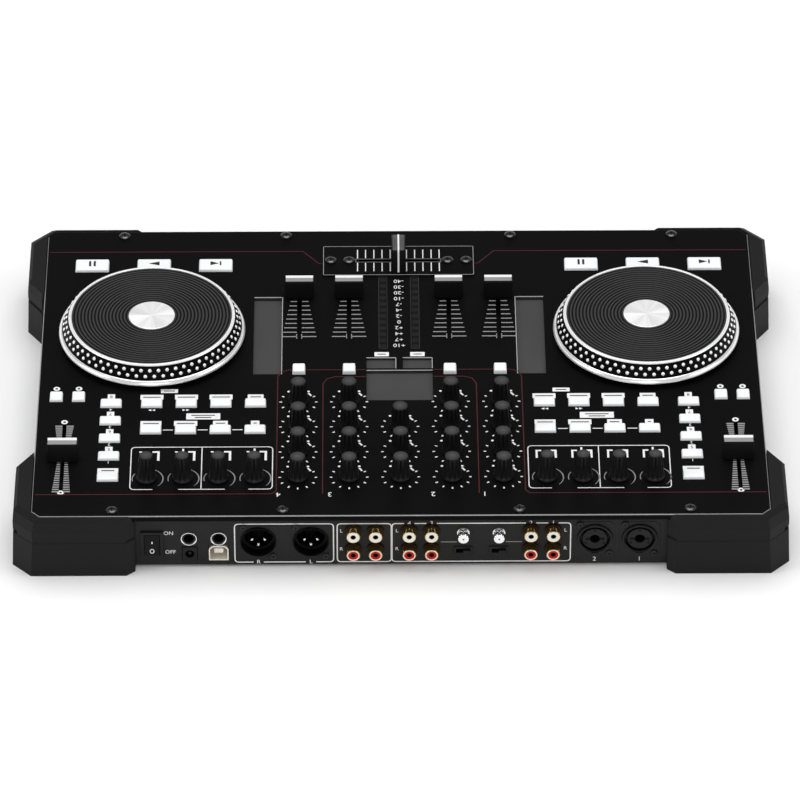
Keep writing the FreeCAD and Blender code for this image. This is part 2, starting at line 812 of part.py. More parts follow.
def knob_master(name, height, base, top):
    """Skirted, fluted cap with a dished top and a blind bore for its shaft."""
    body = new_body(name)
    skirt_top = "(knob_lift + skirt_height)"
    bore_top = "(knob_lift + shaft_grip)"
    revolve(body, [("shaft_radius + shaft_fit", "knob_lift"),
                   ("skirt_radius", "knob_lift"),
                   ("skirt_radius", skirt_top),
                   (base, f"{skirt_top} + skirt_slope"),
                   (top, f"{height} - knob_edge"),
                   (f"{top} - knob_edge", height),
                   ("0", f"{height} - knob_dish"),
                   ("0", bore_top),
                   ("shaft_radius + shaft_fit", bore_top)])
    flute = new_sketch(body, offset=height)
    circle(flute, f"{base} + flute_radius - flute_depth", "0", "flute_radius")
    groove = pocket(body, flute, f"{height} - {skirt_top} - skirt_slope")
    ring_of(body, groove, "flute_count", "Z_Axis")
    return body


def shaft_master():
    """Round potentiometer shaft from inside the pot's bore up into the knob."""
    shaft = doc.addObject("Part::Cylinder", "knob_shaft")
    low = "(sheet + pot_bore_depth - shaft_end_gap)"
    shaft.setExpression("Radius", bind("shaft_radius"))
    shaft.setExpression("Height", bind(f"{low} + knob_lift + shaft_grip"))
    shaft.setExpression("Placement.Base.z", bind(f"-{low}"))
    return shaft


def knobs():
    shaft = shaft_master()
    masters = {"channel": knob_master("channel_knob", "channel_knob_height", "channel_knob_base",
                                      "channel_knob_top"),
               "deck": knob_master("deck_knob", "deck_knob_height", "deck_knob_base", "deck_knob_top")}
    for name, x, y, kind in knob_places():
        node_of(name, [masters[kind], shaft], x=x, y=y, z="panel_top")


def fader_cap(name, width, base, top, height):
    """Wedge cap with bevelled edges, a dished top, a marking groove and a slot for its blade."""
    body = new_body(name)
    top_z = f"(cap_lift + {height})"
    profile = new_sketch(body, "YZ_Plane")
    polygon(profile, [(f"-{base} / 2", "cap_lift"),
                      (f"{base} / 2", "cap_lift"),
                      (f"{top} / 2", f"{top_z} - cap_edge"),
                      (f"{top} / 2 - cap_edge", top_z),
                      ("cap_line_width", f"{top_z} - cap_dish"),
                      ("-cap_line_width", f"{top_z} - cap_dish"),
                      (f"cap_edge - {top} / 2", top_z),
                      (f"-{top} / 2", f"{top_z} - cap_edge")])
    pad(body, profile, width, symmetric=True)
    mark = new_sketch(body, "YZ_Plane")
    rectangle(mark, "0", f"{top_z} - cap_dish", "cap_line_width", "2 * cap_line_depth")
    pocket(body, mark, f"{width} + 1", symmetric=True)
    return body


def cross_cap(name):
    """Narrow cap, long in depth and bevelled towards its top, with a marking groove along it."""
    body = new_body(name)
    top_z = "(cap_lift + cross_cap_height)"
    profile = new_sketch(body, "YZ_Plane")
    polygon(profile, [("-cross_cap_base / 2", "cap_lift"),
                      ("cross_cap_base / 2", "cap_lift"),
                      ("cross_cap_top / 2", f"{top_z} - cap_edge"),
                      ("cross_cap_top / 2 - cap_edge", top_z),
                      ("cap_edge - cross_cap_top / 2", top_z),
                      ("-cross_cap_top / 2", f"{top_z} - cap_edge")])
    pad(body, profile, "cross_cap_width", symmetric=True)
    mark = new_sketch(body, "XZ_Plane")
    rectangle(mark, "0", top_z, "cap_line_width", "2 * cap_line_depth")
    pocket(body, mark, "cross_cap_base + 1", symmetric=True)
    return body


def blade_slot(cap, along_x):
    """Slot in a cap's underside, an easy fit on the blade."""
    thick = "blade_thickness + 2 * blade_fit"
    long = "blade_length + 2 * blade_fit"
    sketch = new_sketch(cap, offset="cap_lift")
    rectangle(sketch, "0", "0", long if along_x else thick, thick if along_x else long)
    pocket(cap, sketch, "blade_grip", reverse=True)


def blade_master(name, along_x):
    """Flat metal blade from the fader track up into the cap."""
    blade = doc.addObject("Part::Box", name)
    low = "(board_drop - track_floor - blade_end_gap)"
    sizes = ("blade_length", "blade_thickness") if along_x else ("blade_thickness", "blade_length")
    for side, axis, text in zip(("Length", "Width"), "xy", sizes):
        blade.setExpression(side, bind(text))
        blade.setExpression(f"Placement.Base.{axis}", bind(f"-{text} / 2"))
    blade.setExpression("Height", bind(f"{low} + cap_lift + blade_grip"))
    blade.setExpression("Placement.Base.z", bind(f"-{low}"))
    return blade


def faders():
    line = fader_cap("line_cap", "line_cap_width", "line_cap_base", "line_cap_top", "line_cap_height")
    pitch = fader_cap("pitch_cap", "pitch_cap_width", "pitch_cap_base", "pitch_cap_top",
                      "pitch_cap_height")
    cross = cross_cap("cross_cap")
    for cap, along_x in ((line, False), (pitch, False), (cross, True)):
        blade_slot(cap, along_x)
    deep_blade = blade_master("deep_blade", False)
    wide_blade = blade_master("wide_blade", True)
    masters = {"line": (line, deep_blade, "0"), "pitch": (pitch, deep_blade, "0"),
               "cross": (cross, wide_blade, "cross_plate_sheet")}
    for name, x, y, middle_x, middle_y, kind in fader_places():
        cap, blade, lift = masters[kind]
        raised = placed([cap], z=lift)
        lifted_blade = placed([blade], z=lift)
        node_of(name, [raised, lifted_blade], x=x, y=y, z="panel_top")


def crossfader_plate():
    """Thin plate screwed on the panel round the crossfader's slot."""
    body = new_body("cross_plate")
    outline = new_sketch(body)
    rectangle(outline, "0", "0", "cross_plate_x", "cross_plate_y")
    width, depth = slot_size("cross")
    rectangle(outline, "0", "0", width, depth)
    for x, y in cross_screw_places():
        circle(outline, x, "0", "screw_radius + screw_gap")
    pad(body, outline, "cross_plate_sheet")
    node_of("crossfader_plate", [body], y="-cross_y", z="panel_top")


def jog_master():
    """Platter with a dotted cone, a bright ring, a disc let into its top, a cap and a spindle."""
    platter = new_body("jog_platter")
    rim_top = "(jog_rim_bottom + jog_rim_height)"
    disc_floor = "(jog_top_height - jog_disc_depth)"
    disc_top = "(jog_top_height + jog_disc_proud)"
    revolve(platter, [("0", "jog_web_bottom"),
                      ("jog_rim_radius - jog_rim_width", "jog_web_bottom"),
                      ("jog_rim_radius - jog_rim_width", "jog_rim_bottom"),
                      ("jog_rim_radius", "jog_rim_bottom"),
                      ("jog_rim_radius", rim_top),
                      ("jog_rim_radius - jog_shoulder", f"{rim_top} + jog_shoulder / 2"),
                      ("jog_top_radius", "jog_top_height"),
                      ("jog_disc_radius", "jog_top_height"),
                      ("jog_disc_radius", disc_floor),
                      ("0", disc_floor)])
    ring = new_body("jog_ring")
    ring_in = "(jog_disc_radius + shaft_fit)"
    ring_top = "(jog_top_height + jog_ring_height)"
    revolve(ring, [(ring_in, "jog_top_height"),
                   (f"{ring_in} + jog_ring_width", "jog_top_height"),
                   (f"{ring_in} + jog_ring_width - jog_ring_height / 2", ring_top),
                   (f"{ring_in} + jog_ring_height / 2", ring_top)])
    disc = new_body("jog_disc")
    revolve(disc, [("0", disc_floor),
                   ("jog_disc_radius - shaft_fit", disc_floor),
                   ("jog_disc_radius - shaft_fit", disc_top),
                   ("0", disc_top)])
    cap = new_body("jog_cap")
    revolve(cap, [("0", disc_top),
                  ("jog_cap_radius", disc_top),
                  ("jog_cap_radius - jog_cap_height / 2", f"{disc_top} + jog_cap_height"),
                  ("0", f"{disc_top} + jog_cap_height")])
    spindle = doc.addObject("Part::Cylinder", "jog_spindle")
    spindle.setExpression("Radius", bind("jog_spindle_radius"))
    spindle.setExpression("Height", bind("jog_spindle_depth + jog_web_bottom"))
    spindle.setExpression("Placement.Base.z", bind("-jog_spindle_depth"))
    return [platter, ring, disc, cap, spindle]


def jog_wheels():
    pieces = jog_master()
    base = new_body("jog_base")
    bore = "(jog_spindle_radius + running_gap)"
    revolve(base, [(bore, "-jog_bush_depth"),
                   ("jog_bush_radius", "-jog_bush_depth"),
                   ("jog_bush_radius", "0"),
                   ("jog_base_radius", "0"),
                   ("jog_base_radius", "jog_base_height - jog_base_edge"),
                   ("jog_base_radius - jog_base_edge", "jog_base_height"),
                   (bore, "jog_base_height")])
    bases = []
    for side, sign in SIDES.items():
        place = {"x": f"{sign} * jog_x", "y": "-jog_y", "z": "panel_top"}
        node_of(f"{side}_jog_wheel", pieces, **place)
        bases.append(placed([base], **place))
    node_of("jog_bases", bases)


def key_master(name, width, depth, height):
    """Push key: a collar held under the panel, a straight stem and a bevelled head."""
    body = new_body(name)
    collar_top = "(0 - sheet - key_collar_gap)"
    collar = new_sketch(body, offset=collar_top)
    rectangle(collar, "0", "0", f"{width} + 2 * (key_gap + key_collar)",
              f"{depth} + 2 * (key_gap + key_collar)")
    pad(body, collar, "key_collar_sheet", reverse=True)
    stem = new_sketch(body, offset=collar_top)
    rectangle(stem, "0", "0", width, depth)
    pad(body, stem, f"0 - {collar_top}")
    levels = []
    for level, inset in (("0", "0"), (f"{height} - key_bevel", "key_draft"),
                         (height, "key_draft + key_bevel")):
        sketch = new_sketch(body, offset=level)
        rectangle(sketch, "0", "0", f"{width} - 2 * ({inset})", f"{depth} - 2 * ({inset})")
        levels.append(sketch)
    loft(body, levels)
    return body


def buttons():
    """Key sets that share one sprung carrier each: transport, pads and channel cues."""
    transport_key = key_master("transport_key", "transport_key_x", "transport_key_y",
                               "transport_key_height")
    pad_key = key_master("pad_key", "pad_key_x", "pad_key_y", "pad_key_height")
    bend_key = key_master("bend_key", "bend_key_x", "bend_key_y", "pad_key_height")
    cue_key = key_master("cue_key", "cue_key_x", "cue_key_y", "cue_key_height")
    for side, sign in SIDES.items():
        transport, pads, bends = key_places(sign)
        node_of(f"{side}_transport_buttons",
                [placed([transport_key], x, y, "panel_top") for x, y in transport])
        node_of(f"{side}_pad_buttons",
                [placed([pad_key], x, y, "panel_top") for x, y in pads]
                + [placed([bend_key], x, y, "panel_top") for x, y in bends])
    node_of("channel_cue_buttons", [placed([cue_key], x, "cue_y", "panel_top") for x in CHANNELS])


def meter_windows():
    """Dark lenses set in the panel, each with a collar behind it."""
    pieces = []
    for x, y, width, depth in meter_window_places():
        body = new_body("meter_lens")
        face = new_sketch(body, offset="-meter_inset")
        rectangle(face, "0", "0", f"{width} - 2 * meter_inset", f"{depth} - 2 * meter_inset")
        pad(body, face, "sheet - meter_inset", reverse=True)
        collar = new_sketch(body, offset="-sheet")
        rectangle(collar, "0", "0", f"{width} + 2 * meter_collar", f"{depth} + 2 * meter_collar")
        pad(body, collar, "meter_collar", reverse=True)
        pieces.append(placed([body], x, y, "panel_top"))
    node_of("meter_windows", pieces)


def touch_pads():
    """Touch strips, trackpad and load keys: plates behind panel windows, on feet to the board."""
    pieces = []
    plate_top = "(0 - sheet - touch_recess)"
    foot_length = "(board_drop - sheet - touch_recess - touch_sheet)"
    for x, y, width, depth in touch_windows():
        body = new_body("touch_plate")
        plate = new_sketch(body, offset=plate_top)
        rectangle(plate, "0", "0", f"{width} + touch_collar / 2", f"{depth} + touch_collar / 2")
        pad(body, plate, "touch_sheet", reverse=True)
        feet = new_sketch(body, offset=f"{plate_top} - touch_sheet")
        for corner_x, corner_y in box_corners("0", "0", f"{width} - touch_foot", f"{depth} - touch_foot"):
            rectangle(feet, corner_x, corner_y, "touch_foot", "touch_foot")
        pad(body, feet, foot_length, reverse=True)
        pieces.append(placed([body], x, y, "panel_top"))
    node_of("touch_pads", pieces)


def control_board():
    """Circuit board hung under the panel's controls, with its potentiometers and fader tracks."""
    board = new_body("board")
    outline = new_sketch(board, offset=BOARD_TOP)
    rectangle(outline, "0", "(board_rear_y - board_front_y) / 2", "2 * board_half_x",
              "board_rear_y + board_front_y")
    for x, y in jog_places():
        circle(outline, x, y, "jog_bush_radius + board_bush_gap")
    pad(board, outline, "board_sheet", reverse=True)
    pot = new_body("pot")
    case = new_sketch(pot)
    rectangle(case, "0", "0", "pot_width", "pot_width")
    pad(pot, case, "board_drop - sheet")
    bore = new_sketch(pot, offset="board_drop - sheet")
    circle(bore, "0", "0", "shaft_radius + running_gap")
    pocket(pot, bore, "pot_bore_depth")
    pieces = [board]
    pieces += [placed([pot], x, y, BOARD_TOP) for name, x, y, kind in knob_places()]
    tracks = {kind: fader_track(kind) for kind in ("line", "cross", "pitch")}
    pieces += [placed([tracks[kind]], middle_x, middle_y, BOARD_TOP)
               for name, x, y, middle_x, middle_y, kind in fader_places()]
    node_of("control_board", pieces)


def fader_track(kind):
    """Open-topped track that a fader's blade runs in."""
    body = new_body(f"{kind}_track")
    along = f"{kind}_travel + blade_length + 2 * slot_gap"
    long = f"({along} + 2 * track_end)"
    across_x = kind == "cross"
    case = new_sketch(body)
    rectangle(case, "0", "0", long if across_x else "track_width", "track_width" if across_x else long)
    pad(body, case, "track_height")
    run = new_sketch(body, offset="track_height")
    width, depth = slot_size(kind)
    rectangle(run, "0", "0", width, depth)
    pocket(body, run, "track_height - track_floor")
    return body


def on_wall(x, drop):
    """Placement of a connector that looks out of the rear wall."""
    return {"x": x, "y": REAR_FACE, "z": f"panel_top - {drop}"}


def power_rocker():
    """Rocker whose two faces meet in a shallow valley, tilted about the pins at its sides."""
    half = "(rocker_frame_z / 2 - rocker_bezel - rocker_wall - rocker_swing_gap)"
    middle = "(rocker_pivot_depth + rocker_middle)"
    tip = f"({middle} + {half} * tan(rocker_tilt * 1 deg))"
    body = new_body("rocker")
    profile = new_sketch(body, "YZ_Plane")
    polygon(profile, [("-rocker_body", f"-{half} + rocker_waist"),
                      ("0", f"-{half}"),
                      (tip, f"-{half}"),
                      (middle, "0"),
                      (tip, half),
                      ("0", half),
                      ("-rocker_body", f"{half} - rocker_waist")])
    opening = "(rocker_frame_x - 2 * (rocker_bezel + rocker_wall))"
    pad(body, profile, f"{opening} - 2 * rocker_gap", symmetric=True)
    pins = new_sketch(body, "YZ_Plane")
    circle(pins, "0", "0", "rocker_pin_radius")
    pad(body, pins, f"{opening} + 2 * rocker_pin_reach", symmetric=True)
    tilted = placed([body], turn=((1, 0, 0), "rocker_tilt"))
    node_of("power_rocker", [tilted], x="rocker_x", z="panel_top - rocker_drop",
            y=f"{REAR_FACE} + rocker_frame_proud - rocker_pivot_depth")


def wall_frame(name, frame, bezel, wall, proud, depth, floor):
    """Switch frame: a bezel outside the wall, a box through it and an open front."""
    width, height = frame
    body = new_body(name)
    face = new_sketch(body, "XZ_Plane", offset=f"-{proud}")
    rectangle(face, "0", "0", width, height)
    pad(body, face, proud)
    box = new_sketch(body, "XZ_Plane")
    rectangle(box, "0", "0", f"{width} - 2 * {bezel}", f"{height} - 2 * {bezel}")
    pad(body, box, depth)
    opening = new_sketch(body, "XZ_Plane", offset=f"-{proud}")
    rectangle(opening, "0", "0", f"{width} - 2 * ({bezel} + {wall})", f"{height} - 2 * ({bezel} + {wall})")
    pocket(body, opening, f"{proud} + {depth} - {floor}", reverse=True)
    return body


def switch_frames():
    """Frame of the power rocker, with holes for its pins, and frames of the two level switches."""
    rocker = wall_frame("rocker_frame", ("rocker_frame_x", "rocker_frame_z"), "rocker_bezel",
                        "rocker_wall", "rocker_frame_proud", "rocker_depth", "rocker_floor")
    pin_holes = new_sketch(rocker, "YZ_Plane")
    circle(pin_holes, "rocker_frame_proud - rocker_pivot_depth", "0", "rocker_pin_radius + rocker_pin_gap")
    pocket(rocker, pin_holes, "rocker_frame_x", symmetric=True)
    level = wall_frame("level_frame", ("level_frame_x", "level_frame_z"), "level_bezel",
                       "level_wall", "level_frame_proud", "level_depth", "level_floor")
    pieces = [placed([rocker], **on_wall("rocker_x", "rocker_drop"))]
    pieces += [placed([level], **on_wall(x, "level_drop")) for x in ("-post_near_x", "-post_far_x")]
    node_of("switch_frames", pieces)


def level_sliders():
    """Finger tabs of the level switches, each at rest at one end of its slot."""
    body = new_body("level_tab")
    section = new_sketch(body, "XZ_Plane", offset="-level_knob_proud")
    rectangle(section, "0", "0", "level_knob_x",
              "level_frame_z - 2 * (level_bezel + level_wall + level_gap)")
    pad(body, section, "level_knob_proud + level_depth - level_floor - level_gap")
    start = "(level_frame_x / 2 - level_bezel - level_wall - level_gap - level_knob_x / 2)"
    for channel, x in ((3, "-post_near_x"), (4, "-post_far_x")):
        node_of(f"channel_{channel}_level_slider", [body], **on_wall(f"{x} - {start}", "level_drop"))


def dc_and_usb_sockets():
    """Barrel power inlet with its centre pin, and a square data socket with its tongue."""
    inlet = new_body("dc_inlet")
    case = new_sketch(inlet, "XZ_Plane", offset="-dc_proud")
    rectangle(case, "0", "0", "dc_width", "dc_height")
    pad(inlet, case, "dc_proud + dc_depth")
    bore = new_sketch(inlet, "XZ_Plane", offset="-dc_proud")
    circle(bore, "0", "0", "dc_bore_radius")
    pocket(inlet, bore, "dc_bore_depth", reverse=True)
    pin = new_sketch(inlet, "XZ_Plane", offset="dc_bore_depth - dc_proud")
    circle(pin, "0", "0", "dc_pin_radius")
    pad(inlet, pin, "dc_pin_length", reverse=True)

    usb = new_body("usb_shell")
    shell = new_sketch(usb, "XZ_Plane", offset="-usb_proud")
    usb_outline(shell, "0")
    pad(usb, shell, "usb_proud + usb_depth")
    mouth = new_sketch(usb, "XZ_Plane", offset="-usb_proud")
    usb_outline(mouth, "usb_wall")
    pocket(usb, mouth, "usb_proud + usb_depth - usb_floor", reverse=True)
    tongue = new_sketch(usb, "XZ_Plane", offset="usb_depth - usb_floor")
    rectangle(tongue, "0", "0", "usb_tongue_x", "usb_tongue_z")
    pad(usb, tongue, "usb_tongue_length", reverse=True)
    node_of("dc_and_usb_sockets", [placed([inlet], **on_wall("dc_x", "dc_drop")),
                                   placed([usb], **on_wall("usb_x", "usb_drop"))])


def usb_outline(sketch, inset):
    """Square outline with its two upper corners cut, moved in by an inset."""
    half_x = f"(usb_width / 2 - {inset})"
    half_z = f"(usb_height / 2 - {inset})"
    cut = f"(usb_corner - {inset} * (2 - sqrt(2)))"
    polygon(sketch, [(f"-{half_x}", f"-{half_z}"),
                     (half_x, f"-{half_z}"),
                     (half_x, f"{half_z} - {cut}"),
                     (f"{half_x} - {cut}", half_z),
                     (f"{cut} - {half_x}", half_z),
                     (f"-{half_x}", f"{half_z} - {cut}")])


def jack_master(kind):
    """Panel jack: a nut outside the wall, a bush through it, a body behind and a blind bore."""
    body = new_body(f"{kind}_socket")
    floor = f"(jack_nut_proud - {kind}_bore_depth)"
    shoulder = "(0 - sheet)"
    revolve(body, [(f"{kind}_bore_radius", "jack_nut_proud"),
                   (f"{kind}_nut_radius - jack_nut_edge", "jack_nut_proud"),
                   (f"{kind}_nut_radius", "jack_nut_proud - jack_nut_edge"),
                   (f"{kind}_nut_radius", "0"),
                   (f"{kind}_bush_radius", "0"),
                   (f"{kind}_bush_radius", shoulder),
                   (f"{kind}_body_radius", shoulder),
                   (f"{kind}_body_radius", f"{floor} - jack_body_back"),
                   ("0", f"{floor} - jack_body_back"),
                   ("0", floor),
                   (f"{kind}_bore_radius", floor)], "XY_Plane")
    return body


def jack_sockets():
    """Two remote jacks in the rear wall and two headphone jacks in the front wall."""
    jack = jack_master("jack")
    mini = jack_master("mini")
    to_front = ((0, 0, 1), "180")
    pieces = [placed([jack], **on_wall(x, "remote_drop")) for x in ("remote_near_x", "remote_far_x")]
    for socket, x in ((jack, "-phones_x"), (mini, "phones_pitch - phones_x")):
        pieces.append(placed([socket], x, f"-1 * {TRAY_HALF_Y}", "panel_top - phones_drop", to_front))
    node_of("jack_sockets", pieces)


def connector_flange(body, hole_radius):
    """Shared flange of the large round connectors, with two screw holes across its corners."""
    plate = new_sketch(body, "XZ_Plane", offset="-d_flange_sheet")
    cut_rectangle(plate, "d_flange_x / 2", "d_flange_z / 2", "d_flange_cut")
    circle(plate, "0", "0", hole_radius)
    for sign in SIDES.values():
        circle(plate, f"{sign} * d_screw_x", f"{sign} * d_screw_z", "screw_radius + screw_gap")
    pad(body, plate, "d_flange_sheet")


def xlr_outputs():
    """Three-pin outputs: a cup behind each flange with pins standing on its floor."""
    cup = new_body("xlr_cup")
    rim = "(d_flange_sheet + xlr_rim_proud)"
    floor = f"({rim} - xlr_cavity_depth)"
    connector_flange(cup, "xlr_cavity_radius")
    revolve(cup, [("xlr_cavity_radius", rim),
                  ("d_body_radius", rim),
                  ("d_body_radius", f"{floor} - xlr_back"),
                  ("0", f"{floor} - xlr_back"),
                  ("0", floor),
                  ("xlr_cavity_radius", floor)], "XY_Plane")
    pin = new_body("xlr_pin")
    revolve(pin, [("0", floor),
                  ("xlr_pin_radius", floor),
                  ("xlr_pin_radius", f"{floor} + xlr_pin_length - xlr_pin_radius"),
                  ("xlr_pin_radius / 2", f"{floor} + xlr_pin_length"),
                  ("0", f"{floor} + xlr_pin_length")], "XY_Plane")
    pins = [placed([pin], x=f"{sign} * xlr_pin_circle") for sign in SIDES.values()]
    pins.append(placed([pin], z="-xlr_pin_circle"))
    node_of("xlr_outputs", [placed([cup] + pins, **on_wall(x, "xlr_drop"))
                            for x in ("xlr_near_x", "xlr_far_x")])


def combo_inputs():
    """Combined inputs: a jack bore in the middle of a face with three contact holes round it."""
    body = new_body("combo")
    face = "(d_flange_sheet + combo_face_proud)"
    floor = f"({face} - combo_bore_depth)"
    connector_flange(body, "jack_bore_radius")
    revolve(body, [("jack_bore_radius", face),
                   ("d_body_radius - combo_face_proud", face),
                   ("d_body_radius", "d_flange_sheet"),
                   ("d_body_radius", "-2 * sheet"),
                   ("combo_rear_radius", "-2 * sheet"),
                   ("combo_rear_radius", f"{floor} - combo_back"),
                   ("0", f"{floor} - combo_back"),
                   ("0", floor),
                   ("jack_bore_radius", floor)], "XY_Plane")
    contact = new_sketch(body, "XZ_Plane", offset=f"-{face}")
    circle(contact, "0", "combo_hole_circle", "combo_hole_radius")
    hole = pocket(body, contact, "combo_hole_depth", reverse=True)
    ring_of(body, hole, "combo_hole_count", "Y_Axis")
    node_of("combo_inputs", [placed([body], **on_wall(x, "combo_drop"))
                             for x in ("-combo_near_x", "-combo_far_x")])


def rca_jacks():
    """Plated shells with a flange on the wall, each round an insulating core with a contact hole."""
    shell = new_body("rca_shell")
    inner = "(rca_radius - rca_wall)"
    revolve(shell, [(inner, "rca_proud"),
                    ("rca_radius", "rca_proud"),
                    ("rca_radius", "rca_flange_sheet"),
                    ("rca_flange_radius", "rca_flange_sheet"),
                    ("rca_flange_radius", "0"),
                    ("rca_radius", "0"),
                    ("rca_radius", "-rca_tail"),
                    (inner, "-rca_tail")], "XY_Plane")
    core = new_body("rca_core")
    core_radius = f"({inner} - shaft_fit)"
    face = "(rca_proud - rca_core_inset)"
    floor = f"({face} - rca_contact_depth)"
    revolve(core, [("rca_contact_radius", face),
                   (core_radius, face),
                   (core_radius, "-rca_tail"),
                   ("0", "-rca_tail"),
                   ("0", floor),
                   ("rca_contact_radius", floor)], "XY_Plane")
    node_of("rca_jacks", [placed([shell, core], **on_wall(x, drop)) for x in RCA_COLUMNS
                          for drop in ("rca_top_drop", "rca_low_drop")])


def ground_posts():
    """Fluted thumb terminals on studs through the rear wall."""
    body = new_body("ground_post")
    thumb = "(post_base_sheet + post_neck_length)"
    revolve(body, [("0", "post_proud"),
                   ("post_radius - post_edge", "post_proud"),
                   ("post_radius", "post_proud - post_edge"),
                   ("post_radius", thumb),
                   ("post_neck_radius", thumb),
                   ("post_neck_radius", "post_base_sheet"),
                   ("post_base_radius", "post_base_sheet"),
                   ("post_base_radius", "0"),
                   ("post_neck_radius", "0"),
                   ("post_neck_radius", "-post_tail"),
                   ("0", "-post_tail")], "XY_Plane")
    flute = new_sketch(body, "XZ_Plane", offset="-post_proud")
    circle(flute, "post_radius", "0", "post_flute_radius")
    groove = pocket(body, flute, f"post_proud - {thumb}", reverse=True)
    ring_of(body, groove, "post_flutes", "Y_Axis")
    node_of("ground_posts", [placed([body], **on_wall(x, "post_drop"))
                             for x in ("-post_near_x", "-post_far_x")])


def check_and_write():
    """Refuse a failed feature or an empty cut, then write one file per sub-part."""
    doc.recompute()
    for item in doc.Objects:
        if "Invalid" in item.State or "Error" in item.State:
            raise RuntimeError(f"{item.Label} failed: {item.State}")
        if item.TypeId == "PartDesign::Pocket":
            removed = item.BaseFeature.Shape.Volume - item.Shape.Volume
            if removed < 1e-6:
                raise RuntimeError(f"{item.Label} cuts nothing")
    os.makedirs("parts", exist_ok=True)
    for piece in nodes:
        if piece.Shape.isNull() or not piece.Shape.isValid():
            raise RuntimeError(f"{piece.Label} has no valid shape")
    for piece in nodes:
        piece.Shape.exportStep(f"parts/{piece.Label}.step")


def main():
    fill_sheet()
    for make in (top_panel, base_tray, corner_bumpers, screws, knobs, faders, crossfader_plate,
                 jog_wheels, buttons, meter_windows, touch_pads, control_board, power_rocker,
                 switch_frames, level_sliders, dc_and_usb_sockets, jack_sockets, xlr_outputs,
                 combo_inputs, rca_jacks, ground_posts):
        make()
    check_and_write()


main()
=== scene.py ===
"""Dress of a four-channel DJ mixer with two jog-wheel decks.

Lengths in the shape functions are millimetres in the part's own frame: +X to the user's right,
+Y to the rear connector wall and +Z up. They become metres when a mesh is made.
"""
import math

import bpy
import numpy as np
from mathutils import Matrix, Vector


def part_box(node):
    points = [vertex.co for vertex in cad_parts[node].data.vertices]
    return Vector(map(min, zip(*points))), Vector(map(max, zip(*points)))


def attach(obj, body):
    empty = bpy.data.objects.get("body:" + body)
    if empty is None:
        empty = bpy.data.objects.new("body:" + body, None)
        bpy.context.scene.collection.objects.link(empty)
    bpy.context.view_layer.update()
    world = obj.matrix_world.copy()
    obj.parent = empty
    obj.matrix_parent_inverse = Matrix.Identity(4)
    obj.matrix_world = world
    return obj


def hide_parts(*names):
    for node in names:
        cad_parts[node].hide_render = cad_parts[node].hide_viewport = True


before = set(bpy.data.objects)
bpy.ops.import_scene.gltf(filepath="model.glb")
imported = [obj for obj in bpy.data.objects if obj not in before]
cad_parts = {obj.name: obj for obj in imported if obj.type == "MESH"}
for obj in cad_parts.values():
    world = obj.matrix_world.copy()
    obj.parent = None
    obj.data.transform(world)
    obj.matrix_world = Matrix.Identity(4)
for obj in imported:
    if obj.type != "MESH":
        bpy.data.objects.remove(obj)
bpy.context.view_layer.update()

bl_info = {
    "name": "DJ mixer dress",
    "version": (1, 0, 0),
    "blender": (4, 5, 0),
    "location": "3D View > Sidebar > Mixer",
    "description": "Builds the finished pieces, finishes and studio of a two-deck DJ mixer",
    "category": "Object",
}

MM = 0.001
CASE = "case"
SIDES = {"left": -1, "right": 1}
BOTH = (-1, 1)


def node_box(name):
    """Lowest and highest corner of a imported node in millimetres."""
    low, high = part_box(name)
    return np.array(low) / MM, np.array(high) / MM


def node_middle(name):
    """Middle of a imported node's box in millimetres."""
    low, high = node_box(name)
    return (low + high) / 2


PANEL_HIGH = node_box("top_panel")[1]
PANEL_TOP = PANEL_HIGH[2]
PLATE_TOP = node_box("crossfader_plate")[1][2]
FRONT_WALL_Y, WALL_Y = (corner[1] for corner in node_box("base_tray"))
JOG = {side: node_middle(f"{side}_jog_wheel") for side in SIDES}

# Columns of the mixer section and places of the deck keys
CHANNEL_X = np.array([-63.9, -32.0, 32.0, 63.9])
TRANSPORT_X = 158.4
TRANSPORT_PITCH = 40.0
TRANSPORT_Y = -111.4
PAD_X = 91.0
PAD_PITCH = 21.8
PAD_ROWS = (35.7, 62.9)
HOTCUE_X = 182.0
HOTCUE_ROWS = (35.5, 53.5, 71.5, 89.5)
SYNC_Y = 110.8
BEND_X = (202.7, 216.75)
BEND_Y = 28.4
CUE_Y = 1.0
# Printed tabs, and how far figures stand off their surface
LOAD_TAB_X = (-11.5, 11.3)
LOAD_TAB_Y = -15.3
LOOP_TAB_X = PAD_X + PAD_PITCH * 2.5
LOOP_TAB_Y = 22.6
LABEL_TAB_X = PAD_X + PAD_PITCH * 1.5
LABEL_TAB_Y = 49.0
FIGURE_LIFT = 0.03
# Width, depth and height of each kind of key
TRANSPORT_KEY = (21.8, 12.4, 1.5)
PAD_KEY = (13.4, 8.1, 1.5)
BEND_KEY = (8.2, 9.4, 1.5)
CUE_KEY = (8.2, 9.0, 2.4)
KEY_STEM = 1.8
# Height of a knob above the panel and its radius at the foot and at the top
DECK_KNOB = (18.9, 5.75, 4.4)
CHANNEL_KNOB = (16.9, 5.9, 4.95)
# Width of a fader cap, its depth at the foot and at the top, and its height
FADER_CAPS = {"line": (18.5, 10.3, 7.5, 12.0), "pitch": (19.0, 11.6, 7.8, 12.0)}
FADER_DISH = 0.7
CAP_LIFT = 0.8
PITCH_X = 210.5
# Crossfader: depth of its cap at the foot and at the top, its height and half its width
CROSS_CAP = (29.0, 18.4, 13.6, 4.5)
CROSS_Y = -115.4
# Half sizes of the border printed on the crossfader's plate, and of the edge of its slot
CROSS_BORDER = (48.6, 15.6)
CROSS_SLOT = (27.6, 1.7)
